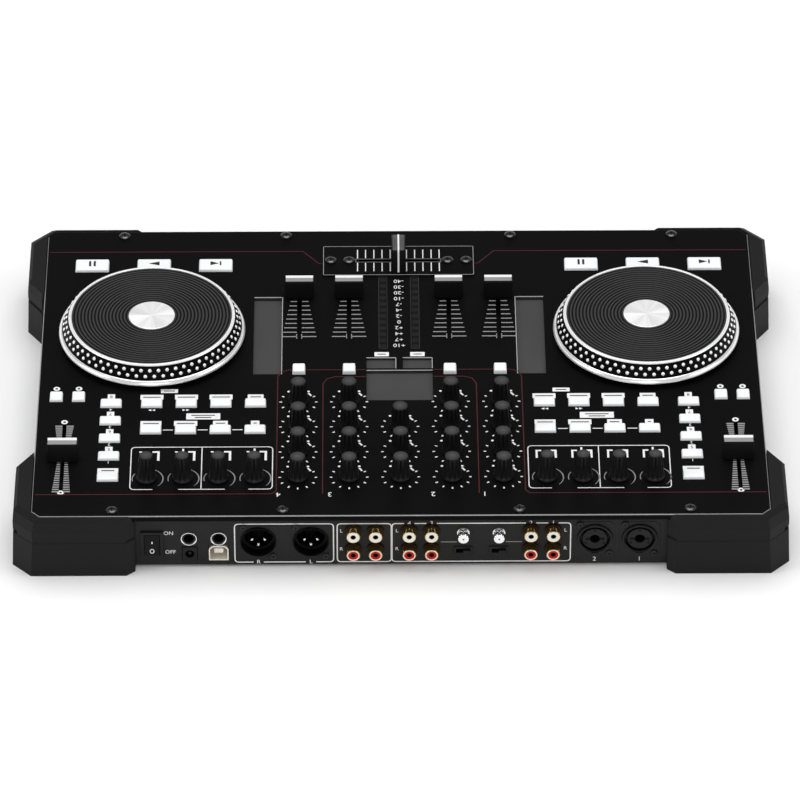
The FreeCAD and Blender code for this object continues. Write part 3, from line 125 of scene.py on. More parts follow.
# Connector columns on the rear wall and their drops below the panel
RCA_X = (29.6, 15.8, -5.0, -18.8, -80.2, -94.0)
RCA_TOP = 14.5
RCA_LOW = 28.7
POST_X = (-38.4, -60.5)
POST_DROP = 16.0
ROCKER_X = 154.0
ROCKER_DROP = 23.9
ROCKER_LEAN = 16.0
REMOTE_X = (112.8, 131.2)
REMOTE_DROP = 19.4
PHONES_X = (-140.0, -122.0)
PHONES_DROP = 20.0
XLR_X = (55.8, 88.3)
COMBO_X = (-119.8, -147.6)
XLR_DROP = 22.3
COMBO_DROP = 20.9
# Where the barrel inlet ends and the data socket begins
INLET_SPLIT = 122.0
# Round connectors: half sizes, corner cut, thickness, hole and screw places of their sheet
FLANGE_HALF = (12.6, 13.1)
FLANGE_CUT = 3.0
FLANGE_SHEET = 0.3
FLANGE_HOLE = 11.1
FLANGE_SCREW = (9.2, 11.2)
# Places of the screws, and the radius and height of their heads
PANEL_SCREW_X = (73.0, 178.4)
PANEL_SCREW_Y = 144.2
CROSS_SCREW_X = (32.0, 43.9)
PANEL_SCREW = (3.7, 1.5)
WALL_SCREW = (2.2, 1.3)
PANEL_CUT = 5.6
BOARD_DROP = 9.0
METER_X = 10.25
METER_LAMPS = 12
METER_LAMP_HALF = 2.2
# Groove round the bumpers: its heights, and the plan of one corner's infill
GROOVE = (24.5, 27.5)
INFILL = np.array([(170.0, 152.8), (226.8, 152.8), (236.2, 143.4),
                   (237.4, 144.5), (227.5, 154.3), (170.0, 154.3)])
# Jog disc: inner and outer radius of its grooved face, and its level above the panel
DISC_INNER = 15.2
DISC_OUTER = 50.6
DISC_LEVEL = 15.2
# Touch windows: ends and far edge of the strips, half size of the load keys, far edge of the pad
STRIP_ENDS = (74.6, 93.0)
STRIP_Y = (-77.0, 5.3)
LOAD_X = 11.55
LOAD_HALF = 9.45
LOAD_Y = (-12.0, -0.5)
TRACKPAD_HALF = 21.0
TRACKPAD_Y = 1.3


def count_property(name, description, default, least):
    """A whole number with a least value."""
    return bpy.props.IntProperty(name=name, description=description, default=default, min=least)


def length_property(name, description, default):
    """A length in metres."""
    return bpy.props.FloatProperty(name=name, description=description, default=default,
                                   unit="LENGTH")


def colour_property(name, description, default):
    """A linear colour that a user can change in the panel."""
    return bpy.props.FloatVectorProperty(name=name, description=description, default=default,
                                         size=3, min=0, max=1, subtype="COLOR")


class MixerSizes(bpy.types.PropertyGroup):
    """Sizes of the details that the solids leave plain."""
    groove_count: count_property("Disc grooves", "Rings turned into each jog disc", 16, 4)
    groove_depth: length_property("Groove depth", "Depth of a ring in the jog disc", 0.00035)
    dot_count: count_property("Rim dots", "Studs in each row on the jog rim", 62, 8)
    dot_radius: length_property("Dot radius", "Radius of a stud on the jog rim", 0.0012)
    flute_count: count_property("Knob flutes", "Finger flutes round a knob", 12, 3)
    flute_depth: length_property("Flute depth", "Depth of a finger flute", 0.00065)
    key_corner: length_property("Key corner", "Corner radius of a key in plan", 0.0007)
    print_height: length_property("Print height", "Thickness of the printed ink", 0.00006)
    # Width of the painted highlight along the panel's bend
    bend_highlight_band: length_property("Edge band", "Width of the bare metal along the panel's bend",
                               0.0006)


class MixerColours(bpy.types.PropertyGroup):
    """Base colours of the finishes."""
    panel: colour_property("Panel", "Black coat of the top panel", (0.0026, 0.0026, 0.0028))
    tray: colour_property("Tray", "Black coat of the base tray", (0.0150, 0.0146, 0.0146))
    bumper: colour_property("Bumper", "Moulded corner bumpers", (0.0112, 0.0106, 0.0106))
    rubber: colour_property("Knob", "Knob grips", (0.0062, 0.0062, 0.0062))
    # Knob tops: the middle colour is partly the top's own paler grey and partly painted highlight;
    # the border colour is painted shade.
    knob_top: colour_property("Knob top", "Middles of the knob tops", (0.060, 0.060, 0.061))
    knob_edge_shade: colour_property("Knob edge", "Borders of the knob tops", (0.019, 0.019, 0.019))
    fader: colour_property("Fader", "Fader caps", (0.0032, 0.0032, 0.0032))
    cross_top: colour_property("Cross top", "Inlaid top of the crossfader cap",
                               (0.075, 0.075, 0.076))
    fader_top: colour_property("Fader top", "Inlaid tops of the fader caps", (0.30, 0.30, 0.30))
    vinyl: colour_property("Disc", "Grooved jog discs", (0.0028, 0.0028, 0.0028))
    cone: colour_property("Cone", "Dark cones of the jog wheels", (0.0016, 0.0016, 0.0016))
    # Painted sheen: paler colour on the raised rings of the jog discs
    ridge_sheen: colour_property("Ridge", "Ridges between the grooves of a disc", (0.046, 0.046, 0.046))
    key: colour_property("Key", "Lit push keys", (0.86, 0.87, 0.88))
    ink: colour_property("White print", "White ink", (0.80, 0.80, 0.80))
    # Grey print, also used for the painted highlight arcs beside the deck knobs
    grey_ink_and_glints: colour_property("Grey print", "Grey ink of the scales", (0.28, 0.28, 0.28))
    red_ink: colour_property("Red print", "Red section lines", (0.066, 0.007, 0.010))
    # Dark print, also used for the painted shade strips on the touch pads
    dark_ink_and_shade: colour_property("Dark print", "Symbols on keys and tabs", (0.012, 0.012, 0.012))
    touch: colour_property("Touch", "Touch strips and trackpad", (0.056, 0.056, 0.057))
    chrome: colour_property("Chrome", "Polished plating", (0.86, 0.86, 0.87))
    steel: colour_property("Screw", "Blackened screws", (0.10, 0.10, 0.103))
    gold: colour_property("Gold", "Gold plating", (0.76, 0.52, 0.22))
    combo: colour_property("Combo", "Faces of the combined inputs", (0.0050, 0.0049, 0.0049))
    rocker: colour_property("Rocker", "Power rocker", (0.0042, 0.0042, 0.0042))
    plastic: colour_property("Connector", "Black connector plastic", (0.006, 0.006, 0.006))
    white_core: colour_property("White core", "Insulators of the upper jacks", (0.80, 0.78, 0.74))
    red_core: colour_property("Red core", "Insulators of the lower jacks", (0.46, 0.011, 0.012))


# Shapes: a solid is an array of points and a list of face arrays, one for each corner count


def joined(solids):
    """One solid of many: points are stacked, and faces step up by the points before them."""
    points = np.concatenate([solid[0] for solid in solids])
    faces = []
    first = 0
    for corners, polygons in solids:
        faces.extend(face + first for face in polygons)
        first += len(corners)
    return points, faces


def moved(solid, place):
    """Every point plus one place."""
    return solid[0] + np.asarray(place, float), solid[1]


def stepped(faces, copies, count):
    """Faces of a solid's copies: each copy's faces step up by the solid's point count."""
    steps = np.arange(copies)[:, None, None] * count
    return [(face[None] + steps).reshape(-1, face.shape[1]) for face in faces]


def raised(flat, heights):
    """Flat points with heights, which spread over the points' leading axes."""
    heights = np.broadcast_to(np.asarray(heights, float), flat.shape[:-1])
    return np.concatenate([flat, heights[..., None]], axis=-1)


def repeated(solid, places):
    """Every point plus every place. Flat places are at height 0."""
    points, faces = solid
    places = np.asarray(places, float)
    if places.shape[1] == 2:
        places = raised(places, 0.0)
    grown = (places[:, None, :] + points[None]).reshape(-1, 3)
    return grown, stepped(faces, len(places), len(points))


def on_rear(solid):
    """A solid drawn as seen from behind (right, up, towards the viewer) set on the rear wall."""
    right, up, out = solid[0].T
    return np.stack([-right, WALL_Y + out, PANEL_TOP + up], axis=1), solid[1]


def on_front(solid):
    """A solid drawn as seen by the user (right, up, towards the user) set on the front wall."""
    right, up, out = solid[0].T
    return np.stack([right, FRONT_WALL_Y - out, PANEL_TOP + up], axis=1), solid[1]


def on_panel(solid):
    """A solid drawn above height 0 set on the panel."""
    return moved(solid, (0, 0, PANEL_TOP))


def unit(steps):
    """Every step divided by its length."""
    return steps / np.linalg.norm(steps, axis=1, keepdims=True)


def quarter_turn(steps):
    """Every flat step (x, y) turned left to (-y, x)."""
    return np.stack([-steps[:, 1], steps[:, 0]], axis=1)


def angles(count):
    """Even angles round a full turn."""
    return np.linspace(0, 2 * np.pi, count, endpoint=False)


def rays(angle):
    """Cosine and sine of every angle."""
    return np.stack([np.cos(angle), np.sin(angle)], axis=1)


def grid_faces(rows, columns, ring_rows=False):
    """Quads between neighbouring rows and columns.

    Columns close on themselves, and rows where asked.
    """
    row = np.arange(rows if ring_rows else rows - 1)[:, None] * columns
    above = (row + columns) % (rows * columns)
    column = np.arange(columns)[None, :]
    following = (column + 1) % columns
    quads = [row + column, row + following, above + following, above + column]
    return np.stack(np.broadcast_arrays(*quads), axis=-1).reshape(-1, 4)


def skin(rows, flat_caps=False):
    """Closed surface over rows of points. Each end is a fan to its middle, or one flat face."""
    count, columns, _ = rows.shape
    points = [rows.reshape(-1, 3)]
    faces = [grid_faces(count, columns)]
    ring = np.arange(columns)
    total = count * columns
    for row, order in ((0, ring[::-1]), (count - 1, (count - 1) * columns + ring)):
        if flat_caps:
            faces.append(order[None])
        else:
            points.append(rows[row].mean(axis=0)[None])
            faces.append(np.stack([order, np.roll(order, -1), np.full(columns, total)], axis=1))
            total += 1
    return np.concatenate(points), faces


def ring_skin(rows):
    """Surface over rows of points whose last row joins the first."""
    return rows.reshape(-1, 3), [grid_faces(*rows.shape[:2], ring_rows=True)]


def revolved(profile, count, squeeze=0.0):
    """Rows of points: each (radius, height) turned about Z, its radius less a squeeze."""
    profile = np.asarray(profile, float)
    angle = angles(count)
    radius = profile[:, :1] - squeeze + np.zeros(count)
    height = np.repeat(profile[:, 1:], count, axis=1)
    return np.stack([radius * np.cos(angle), radius * np.sin(angle), height], axis=-1)


def turned(profile, count=48, squeeze=0.0):
    """Profile of (radius, height) turned about Z and closed at its ends.

    An array may squeeze the radius at each height and angle.
    """
    return skin(revolved(profile, count, squeeze))


def hoop(profile, count=64):
    """Closed profile of (radius, height), outer wall upwards, turned about Z into a ring."""
    return ring_skin(revolved(profile, count))


def softened(corners, radius, steps=4):
    """Outline whose corners become parabolas that leave and join their sides one radius away."""
    corners = np.asarray(corners, float)
    start = corners + unit(np.roll(corners, 1, axis=0) - corners) * radius
    end = corners + unit(np.roll(corners, -1, axis=0) - corners) * radius
    t = np.linspace(0, 1, steps)[None, :, None]
    curve = ((1 - t) ** 2 * start[:, None] + 2 * t * (1 - t) * corners[:, None]
             + t ** 2 * end[:, None])
    return curve.reshape(-1, 2)


def box_outline(half_x, half_y, x=0.0, y=0.0):
    """Corners of a rectangle about a middle, anticlockwise."""
    return np.array([[x - half_x, y - half_y], [x + half_x, y - half_y],
                     [x + half_x, y + half_y], [x - half_x, y + half_y]])


def circle_outline(radius, count):
    """Even points round a circle: the radius times each ray."""
    return radius * rays(angles(count))


def lofted(outlines, heights):
    """Outlines with equal point counts stacked at their heights."""
    return skin(raised(np.asarray(outlines, float), np.asarray(heights)[:, None]))


def prism(outline, low, high):
    """A flat outline between two heights."""
    return lofted([outline, outline], [low, high])


def rounded_box(size, levels, corner):
    """Box with soft corners: at each (height, inset) its outline is drawn in by the inset."""
    half_x, half_y = size[0] / 2, size[1] / 2
    outlines = [softened(box_outline(half_x - inset, half_y - inset), corner)
                for height, inset in levels]
    return lofted(outlines, [height for height, inset in levels])


def carried(outline, stations, insets=None):
    """Outline in (Y, Z) carried along X.

    At a station it may shrink about its middle by an inset.
    """
    outline = np.asarray(outline, float)
    middle = outline.mean(axis=0)
    reach = np.abs(outline - middle).max(axis=0)
    insets = np.zeros(len(stations)) if insets is None else np.asarray(insets, float)
    sections = middle + (outline - middle)[None] * (1 - insets[:, None, None] / reach)
    along = np.asarray(stations, float)[:, None, None]
    along = np.broadcast_to(along, sections.shape[:2] + (1,))
    return skin(np.concatenate([along, sections], axis=-1), flat_caps=True)


def ribbon(path, width, low, high, closed=False):
    """Rectangular section carried along a flat path, mitred at its bends."""
    path = np.asarray(path, float)
    if closed:
        before, after = path - np.roll(path, 1, axis=0), np.roll(path, -1, axis=0) - path
    else:
        step = np.diff(path, axis=0)
        before, after = np.vstack([step[:1], step]), np.vstack([step, step[-1:]])
    before, after = unit(before), unit(after)
    along = unit(before + after)
    mitre = 1 / np.maximum((along * after).sum(axis=1), 0.5)
    width = np.broadcast_to(np.asarray(width, float), (len(path),))
    half = (width / 2 * mitre)[:, None] * quarter_turn(along)
    left, right = path + half, path - half
    rows = raised(np.stack([left, right, right, left], axis=1), [high, high, low, low])
    return ring_skin(rows) if closed else skin(rows, flat_caps=True)


def strips(ends, width, low, high):
    """Straight bars between pairs of ends, as an array of (start, end) points."""
    ends = np.asarray(ends, float)
    start, end = ends[:, 0], ends[:, 1]
    half = quarter_turn(unit(end - start)) * width / 2
    plan = np.stack([start + half, start - half, end - half, end + half], axis=1)
    points = raised(np.concatenate([plan, plan], axis=1), [low] * 4 + [high] * 4)
    quads = np.array([[3, 2, 1, 0], [4, 5, 6, 7], [0, 1, 5, 4],
                      [1, 2, 6, 5], [2, 3, 7, 6], [3, 0, 4, 7]])
    return points.reshape(-1, 3), stepped([quads], len(ends), points.shape[1])


def bar_ends(start_x, start_y, end_x, end_y):
    """Ends of straight bars from arrays or numbers that spread over each other."""
    spread = np.broadcast_arrays(start_x, start_y, end_x, end_y)
    return np.stack(spread, axis=-1).reshape(-1, 2, 2)


def arc_path(radius, start, end, steps=16):
    """Points on an arc, in degrees clockwise from +Y as a knob's pointer turns."""
    angle = np.radians(np.linspace(start, end, steps))
    return np.stack([radius * np.sin(angle), radius * np.cos(angle)], axis=1)


def lettered(words, size, thickness, place):
    """Plain figures as a solid: the font's outline given a thickness and made a mesh."""
    curve = bpy.data.curves.new("figures", "FONT")
    curve.body = words
    curve.size = size
    curve.extrude = thickness / 2
    curve.align_x = "CENTER"
    curve.align_y = "CENTER"
    curve.resolution_u = 3
    holder = bpy.data.objects.new("figures", curve)
    mesh = bpy.data.meshes.new_from_object(holder)
    points = np.empty(len(mesh.vertices) * 3, np.float32)
    mesh.vertices.foreach_get("co", points)
    mesh.calc_loop_triangles()
    corners = np.empty(len(mesh.loop_triangles) * 3, np.int32)
    mesh.loop_triangles.foreach_get("vertices", corners)
    bpy.data.objects.remove(holder)
    bpy.data.meshes.remove(mesh)
    bpy.data.curves.remove(curve)
    return moved((points.reshape(-1, 3).astype(float), [corners.reshape(-1, 3)]), place)


def piece(name, solid, material, slot, body=CASE, stands_for=(), crease=35.0, angle_map=None):
    """Put a solid into a mesh, smooth it between its creases, and let it ride on a body.

    An angle map gives each corner its angle and its distance from a middle.
    """
    points, faces = solid
    corners = np.concatenate([face.ravel() for face in faces]).astype(np.int32)
    sizes = np.concatenate([np.full(len(face), face.shape[1]) for face in faces])
    starts = np.concatenate([[0], np.cumsum(sizes)[:-1]]).astype(np.int32)
    mesh = bpy.data.meshes.new(name)
    mesh.vertices.add(len(points))
    mesh.vertices.foreach_set("co", (points * MM).astype(np.float32).ravel())
    mesh.loops.add(len(corners))
    mesh.loops.foreach_set("vertex_index", corners)
    mesh.polygons.add(len(sizes))
    mesh.polygons.foreach_set("loop_start", starts)
    mesh.update(calc_edges=True)
    if mesh.validate():
        raise RuntimeError(f"{name} has faces that are not real")
    mesh.polygons.foreach_set("use_smooth", np.ones(len(sizes), bool))
    mesh.set_sharp_from_angle(angle=math.radians(crease))
    if angle_map is not None:
        layer = mesh.uv_layers.new(name="turning")
        flat = points[corners][:, :2] - np.asarray(angle_map)
        share = np.arctan2(flat[:, 1], flat[:, 0]) / (2 * np.pi)
        turn = np.stack([share, np.hypot(*flat.T)], axis=1)
        layer.data.foreach_set("uv", turn.astype(np.float32).ravel())
    mesh.materials.append(material)
    made = bpy.data.objects.new(name, mesh)
    bpy.context.scene.collection.objects.link(made)
    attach(made, body)
    if stands_for:
        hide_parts(*stands_for)
    return made


def dress_node(name, material):
    """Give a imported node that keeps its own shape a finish."""
    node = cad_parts[name]
    node.data.materials.clear()
    node.data.materials.append(material)


# Finishes


def feed(tree, socket, value):
    """Link another socket to this one, or set a plain value on it. None leaves it as it is."""
    if isinstance(value, bpy.types.NodeSocket):
        tree.links.new(value, socket)
    elif value is not None:
        socket.default_value = value


def add_node(tree, kind, feeds=None, **settings):
    """Node with its settings, and then its inputs fed by name."""
    made = tree.nodes.new(kind)
    for key, value in settings.items():
        setattr(made, key, value)
    for name, value in (feeds or {}).items():
        feed(tree, made.inputs[name], value)
    return made


def math_node(tree, operation, *values):
    """A Math node fed by sockets or plain numbers."""
    made = add_node(tree, "ShaderNodeMath", operation=operation)
    for socket, value in zip(made.inputs, values):
        feed(tree, socket, value)
    return made.outputs[0]


def axes(tree, vector):
    """X, Y and Z of a vector."""
    return add_node(tree, "ShaderNodeSeparateXYZ", {"Vector": vector}).outputs


def turning(tree):
    """Angle and radius from the map of a turned piece."""
    return axes(tree, add_node(tree, "ShaderNodeUVMap", uv_map="turning").outputs["UV"])[:2]


def new_group(name, values, outputs):
    """Empty shader group with a vector, named values and outputs, and its end nodes."""
    tree = bpy.data.node_groups.new(name, "ShaderNodeTree")
    tree.interface.new_socket(name="Vector", in_out="INPUT", socket_type="NodeSocketVector")
    for socket, value in values.items():
        made = tree.interface.new_socket(name=socket, in_out="INPUT", socket_type="NodeSocketFloat")
        made.default_value = value
    for socket in outputs:
        tree.interface.new_socket(name=socket, in_out="OUTPUT", socket_type="NodeSocketFloat")
    return tree, tree.nodes.new("NodeGroupInput").outputs, tree.nodes.new("NodeGroupOutput").inputs


def moulded_grain():
    """Group: a cloudy Tone for colour and gloss, and the fine Height of a textured surface."""
    found = bpy.data.node_groups.get("moulded_grain")
    if found:
        return found
    tree, source, target = new_group("moulded_grain", {"Scale": 2000.0, "Cloud": 60.0},
                                     ["Tone", "Height"])
    fine, cloud = [
        add_node(tree, "ShaderNodeTexNoise", {"Vector": source["Vector"], "Scale": source[scale],
                                              "Detail": detail}).outputs["Fac"]
        for scale, detail in (("Scale", 3.0), ("Cloud", 4.0))]
    cloudy = math_node(tree, "MULTIPLY", cloud, 0.65)
    feed(tree, target["Tone"], math_node(tree, "MULTIPLY_ADD", fine, 0.35, cloudy))
    feed(tree, target["Height"], fine)
    return tree


def bend_highlight_band():
    """Group: a Mask that is 1 along the border of a plate about the middle.

    The border lies past Half X, past Half Y or past the Corner, where X and Y are added.
    """
    found = bpy.data.node_groups.get("bend_highlight_band")
    if found:
        return found
    tree, source, target = new_group("bend_highlight_band", {"Half X": 0.2, "Half Y": 0.1, "Corner": 0.3},
                                     ["Mask"])
    x, y = [math_node(tree, "ABSOLUTE", axis) for axis in axes(tree, source["Vector"])[:2]]
    past_x = math_node(tree, "GREATER_THAN", x, source["Half X"])
    past_y = math_node(tree, "GREATER_THAN", y, source["Half Y"])
    past_corner = math_node(tree, "GREATER_THAN", math_node(tree, "ADD", x, y), source["Corner"])
    sides = math_node(tree, "MAXIMUM", past_x, past_y)
    feed(tree, target["Mask"], math_node(tree, "MAXIMUM", sides, past_corner))
    return tree


def new_material(name):
    """Empty material with its Principled shader and Object coordinates."""
    made = bpy.data.materials.new(name)
    made.use_nodes = True
    tree = made.node_tree
    place = add_node(tree, "ShaderNodeTexCoord").outputs["Object"]
    return made, tree, tree.nodes["Principled BSDF"], place


def blended(tree, factor, first, second):
    """Mix of two colours, each a socket or a plain colour."""
    mix = add_node(tree, "ShaderNodeMix", {"Factor": factor}, data_type="RGBA")
    sockets = [socket for socket in mix.inputs if socket.type == "RGBA"]
    for socket, colour in zip(sockets, (first, second)):
        linked = isinstance(colour, bpy.types.NodeSocket)
        feed(tree, socket, colour if linked else (*colour, 1.0))
    return next(socket for socket in mix.outputs if socket.type == "RGBA")


def shades(tree, factor, colour, spread):
    """Colour between a darker and a lighter shade of one colour."""
    dark, light = [[min(1.0, channel * share) for channel in colour]
                   for share in (1 - spread, 1 + spread)]
    return blended(tree, factor, dark, light)


def spread_value(tree, factor, low, high, start=0.0, end=1.0):
    """Factor between a start and an end spread between two values."""
    return add_node(tree, "ShaderNodeMapRange", {
        "Value": factor, "From Min": start, "From Max": end, "To Min": low, "To Max": high,
    }).outputs["Result"]


def bumped(tree, height, strength, depth):
    """Normal bent by a height."""
    return add_node(tree, "ShaderNodeBump", {
        "Height": height, "Strength": strength, "Distance": depth}).outputs["Normal"]


def grained(tree, place, scale, cloud):
    """Tone and Height of the moulded grain at its own scales."""
    group = add_node(tree, "ShaderNodeGroup", {"Vector": place, "Scale": scale, "Cloud": cloud},
                     node_tree=moulded_grain())
    return group.outputs["Tone"], group.outputs["Height"]


def dress_shader(tree, shader, colour, gloss, normal, metallic=None, specular=None):
    """Feed a shader's colour, gloss and normal, and its metal and specular level where given."""
    feeds = {"Base Color": colour, "Roughness": gloss, "Normal": normal, "Metallic": metallic,
             "Specular IOR Level": specular}
    for name, value in feeds.items():
        feed(tree, shader.inputs[name], value)


def finish(name, colour, roughness, metallic=0.0, specular=0.5, spread=0.25, grain=2000.0,
           cloud=60.0, bump=0.15, depth=0.00006, gloss_spread=0.08):
    """Procedural finish: cloudy shades of one colour, uneven gloss and a fine grain."""
    found = bpy.data.materials.get(name)
    if found:
        return found
    made, tree, shader, place = new_material(name)
    tone, height = grained(tree, place, grain, cloud)
    gloss = spread_value(tree, tone, roughness - gloss_spread, roughness + gloss_spread)
    dress_shader(tree, shader, shades(tree, tone, colour, spread), gloss,
                 bumped(tree, height, bump, depth), metallic, specular)
    return made


def panel_coat(colours, sizes):
    """Black textured coat with a pale, partly metallic band along the panel's bend: painted
    highlight of the bend.
    """
    made, tree, shader, place = new_material("panel_coat")
    tone, height = grained(tree, place, scale=2600.0, cloud=45.0)
    corner = (PANEL_HIGH[0] + PANEL_HIGH[1] - PANEL_CUT) * MM
    border = add_node(tree, "ShaderNodeGroup", {
        "Vector": place, "Half X": PANEL_HIGH[0] * MM - sizes.bend_highlight_band,
        "Half Y": PANEL_HIGH[1] * MM - sizes.bend_highlight_band, "Corner": corner - sizes.bend_highlight_band,
    }, node_tree=bend_highlight_band())
    level = PANEL_TOP * MM - sizes.bend_highlight_band
    high = math_node(tree, "GREATER_THAN", axes(tree, place)[2], level)
    bend = math_node(tree, "MULTIPLY", border.outputs["Mask"], high)
    coat = shades(tree, tone, colours.panel, 0.5)
    # Painted highlight: the pale, partly metallic band along the bend stands in for the light the
    # bend catches.
    highlit = shades(tree, tone, (0.34, 0.34, 0.35), 0.2)
    dress_shader(tree, shader, blended(tree, bend, coat, highlit),
                 spread_value(tree, tone, 0.42, 0.62),
                 bumped(tree, height, strength=0.35, depth=0.00008),
                 math_node(tree, "MULTIPLY", bend, 0.6), 0.04)
    return made


def grooved_vinyl(colours, sizes):
    """Black disc with painted sheen: paler rings between its grooves by the distance from the
    middle of the wheel.
    """
    made, tree, shader, place = new_material("disc_vinyl")
    tone, height = grained(tree, place, scale=1200.0, cloud=60.0)
    x, y, _ = axes(tree, place)
    middle = JOG["right"] * MM
    x = math_node(tree, "SUBTRACT", math_node(tree, "ABSOLUTE", x), middle[0])
    y = math_node(tree, "SUBTRACT", y, middle[1])
    squares = [math_node(tree, "MULTIPLY", axis, axis) for axis in (x, y)]
    distance = math_node(tree, "SQRT", math_node(tree, "ADD", *squares))
    inward = math_node(tree, "SUBTRACT", DISC_OUTER * MM, distance)
    per_metre = sizes.groove_count / ((DISC_OUTER - DISC_INNER) * MM)
    groove = math_node(tree, "PINGPONG", math_node(tree, "MULTIPLY", inward, per_metre), 0.5)
    # Painted sheen: the raised rings between grooves are coloured paler where light would catch
    # them.
    ridge_sheen = spread_value(tree, groove, 1.0, 0.0, 0.14, 0.30)
    dark = shades(tree, tone, colours.vinyl, 0.2)
    pale = shades(tree, tone, colours.ridge_sheen, 0.2)
    dress_shader(tree, shader, blended(tree, ridge_sheen, dark, pale),
                 spread_value(tree, tone, 0.28, 0.42),
                 bumped(tree, height, strength=0.05, depth=0.00004),
                 specular=0.08)
    return made


def brushed_metal():
    """Aluminium turned on a lathe: painted rays of highlight and shade by angle, and fine rings of
    gloss by radius.

    Its highlights spread across the turning.
    """
    made, tree, shader, _ = new_material("turned_aluminium")
    angle, radius = turning(tree)
    shade, rings = [
        add_node(tree, "ShaderNodeTexNoise", {"W": place, "Scale": scale, "Detail": 6.0},
                 noise_dimensions="1D").outputs["Fac"]
        for place, scale in ((angle, 7.0), (radius, 9.0))]
    # Painted highlight and shade: lighter and darker rays by angle stand in for the turned metal's
    # reflections.
    gleam = spread_value(tree, shade, 0.0, 1.0, 0.3, 0.6)
    dress_shader(tree, shader, shades(tree, gleam, (0.97, 0.97, 0.97), 0.3),
                 spread_value(tree, rings, 0.22, 0.42),
                 bumped(tree, rings, strength=0.08, depth=0.00004), 0.3)
    tangent = add_node(tree, "ShaderNodeTangent", direction_type="UV_MAP", uv_map="turning")
    feed(tree, shader.inputs["Tangent"], tangent.outputs["Tangent"])
    shader.inputs["Anisotropic"].default_value = 0.7
    return made


def painted_fade_top(colours):
    """Knob top whose paler middle fades to a darker border: painted shading of a domed top lit in
    the middle.
    """
    made, tree, shader, place = new_material("painted_fade_top")
    tone, height = grained(tree, place, scale=2800.0, cloud=60.0)
    inner, outer = 0.8, 4.6
    # Painted shading: the pale middle fades to a darker border with distance from the knob's axis.
    border = spread_value(tree, turning(tree)[1], 0.0, 1.0, inner, outer)
    pale = shades(tree, tone, colours.knob_top, 0.2)
    dark = shades(tree, tone, colours.knob_edge_shade, 0.2)
    dress_shader(tree, shader, blended(tree, border, pale, dark),
                 spread_value(tree, tone, 0.42, 0.58),
                 bumped(tree, height, strength=0.15, depth=0.00006),
                 specular=0.2)
    return made


def meter_lens():
    """Smoked lens with a ladder of unlit lamps behind it."""
    made, tree, shader, place = new_material("meter_lens")
    x, y, _ = axes(tree, place)
    low, high = node_box("meter_windows")
    step = (high[1] - low[1]) * MM / METER_LAMPS
    count = math_node(tree, "DIVIDE", math_node(tree, "SUBTRACT", y, low[1] * MM), step)
    inside = math_node(tree, "PINGPONG", count, 0.5)
    across = math_node(tree, "SUBTRACT", math_node(tree, "ABSOLUTE", x), METER_X * MM)
    within = math_node(tree, "LESS_THAN", math_node(tree, "ABSOLUTE", across), METER_LAMP_HALF * MM)
    lamp = math_node(tree, "MULTIPLY", math_node(tree, "GREATER_THAN", inside, 0.22), within)
    tone, height = grained(tree, place, scale=1800.0, cloud=80.0)
    bar = shades(tree, tone, (0.011, 0.0114, 0.0114), 0.2)
    dress_shader(tree, shader, blended(tree, lamp, (0.003, 0.003, 0.003), bar),
                 spread_value(tree, tone, 0.10, 0.22),
                 bumped(tree, height, strength=0.03, depth=0.00002),
                 specular=0.2)
    return made


def board_laminate():
    """Green laminate with a woven grain and paler runs, under black tracks and housings."""
    made, tree, shader, place = new_material("green_laminate")
    tone, height = grained(tree, place, scale=900.0, cloud=200.0)
    runs = add_node(tree, "ShaderNodeTexBrick", {
        "Vector": place, "Scale": 90.0, "Color1": (0.006, 0.045, 0.018, 1),
        "Color2": (0.008, 0.060, 0.024, 1), "Mortar": (0.016, 0.095, 0.040, 1)})
    level = (PANEL_TOP - BOARD_DROP + 0.1) * MM
    above = math_node(tree, "GREATER_THAN", axes(tree, place)[2], level)
    black = shades(tree, tone, (0.003, 0.003, 0.003), 0.3)
    dress_shader(tree, shader, blended(tree, above, runs.outputs["Color"], black),
                 spread_value(tree, tone, 0.35, 0.55),
                 bumped(tree, height, strength=0.1, depth=0.00005),
                 specular=0.2)
    return made


def inlet_and_shell(colours):
    """Nickel on the square data socket and black on the barrel inlet, split between the two."""
    made, tree, shader, place = new_material("inlet_and_shell")
    tone, height = grained(tree, place, scale=1500.0, cloud=120.0)
    shell = math_node(tree, "LESS_THAN", axes(tree, place)[0], INLET_SPLIT * MM)
    black = shades(tree, tone, colours.plastic, 0.3)
    nickel = shades(tree, tone, (0.86, 0.81, 0.73), 0.1)
    dress_shader(tree, shader, blended(tree, shell, black, nickel),
                 spread_value(tree, tone, 0.25, 0.4),
                 bumped(tree, height, strength=0.05, depth=0.00004),
                 math_node(tree, "MULTIPLY", shell, 0.35), 0.2)
    return made


def inks(colours):
    """White, grey, red and dark print. The grey also paints highlight arcs, and the dark also
    paints shade strips.
    """
    rows = (("white_ink", colours.ink, 0.55, 0.25, 0.06),
            ("grey_ink_and_glints", colours.grey_ink_and_glints, 0.55, 0.25, 0.1),
            ("red_ink", colours.red_ink, 0.55, 0.2, 0.15),
            ("dark_ink_and_shade", colours.dark_ink_and_shade, 0.5, 0.25, 0.2))
    return [finish(name, colour, roughness, specular=specular, spread=spread, bump=0.05)
            for name, colour, roughness, specular, spread in rows]


def chrome(colours):
    """Polished plating of nuts, pins and posts."""
    return finish("chrome_plate", colours.chrome, 0.12, metallic=1.0, spread=0.04, bump=0.02,
                  depth=0.00002, gloss_spread=0.04)


def black_plastic(colours):
    """Black plastic of connectors and switches."""
    return finish("connector_plastic", colours.plastic, 0.42, specular=0.2, spread=0.3, bump=0.12)


def contact_shade():
    """Near-black on the contacts and holes inside connectors: painted shade of the holes."""
    return finish("contact_shade", (0.006, 0.005, 0.004), 0.5, metallic=0.3, specular=0.1,
                  spread=0.2)


# Operators


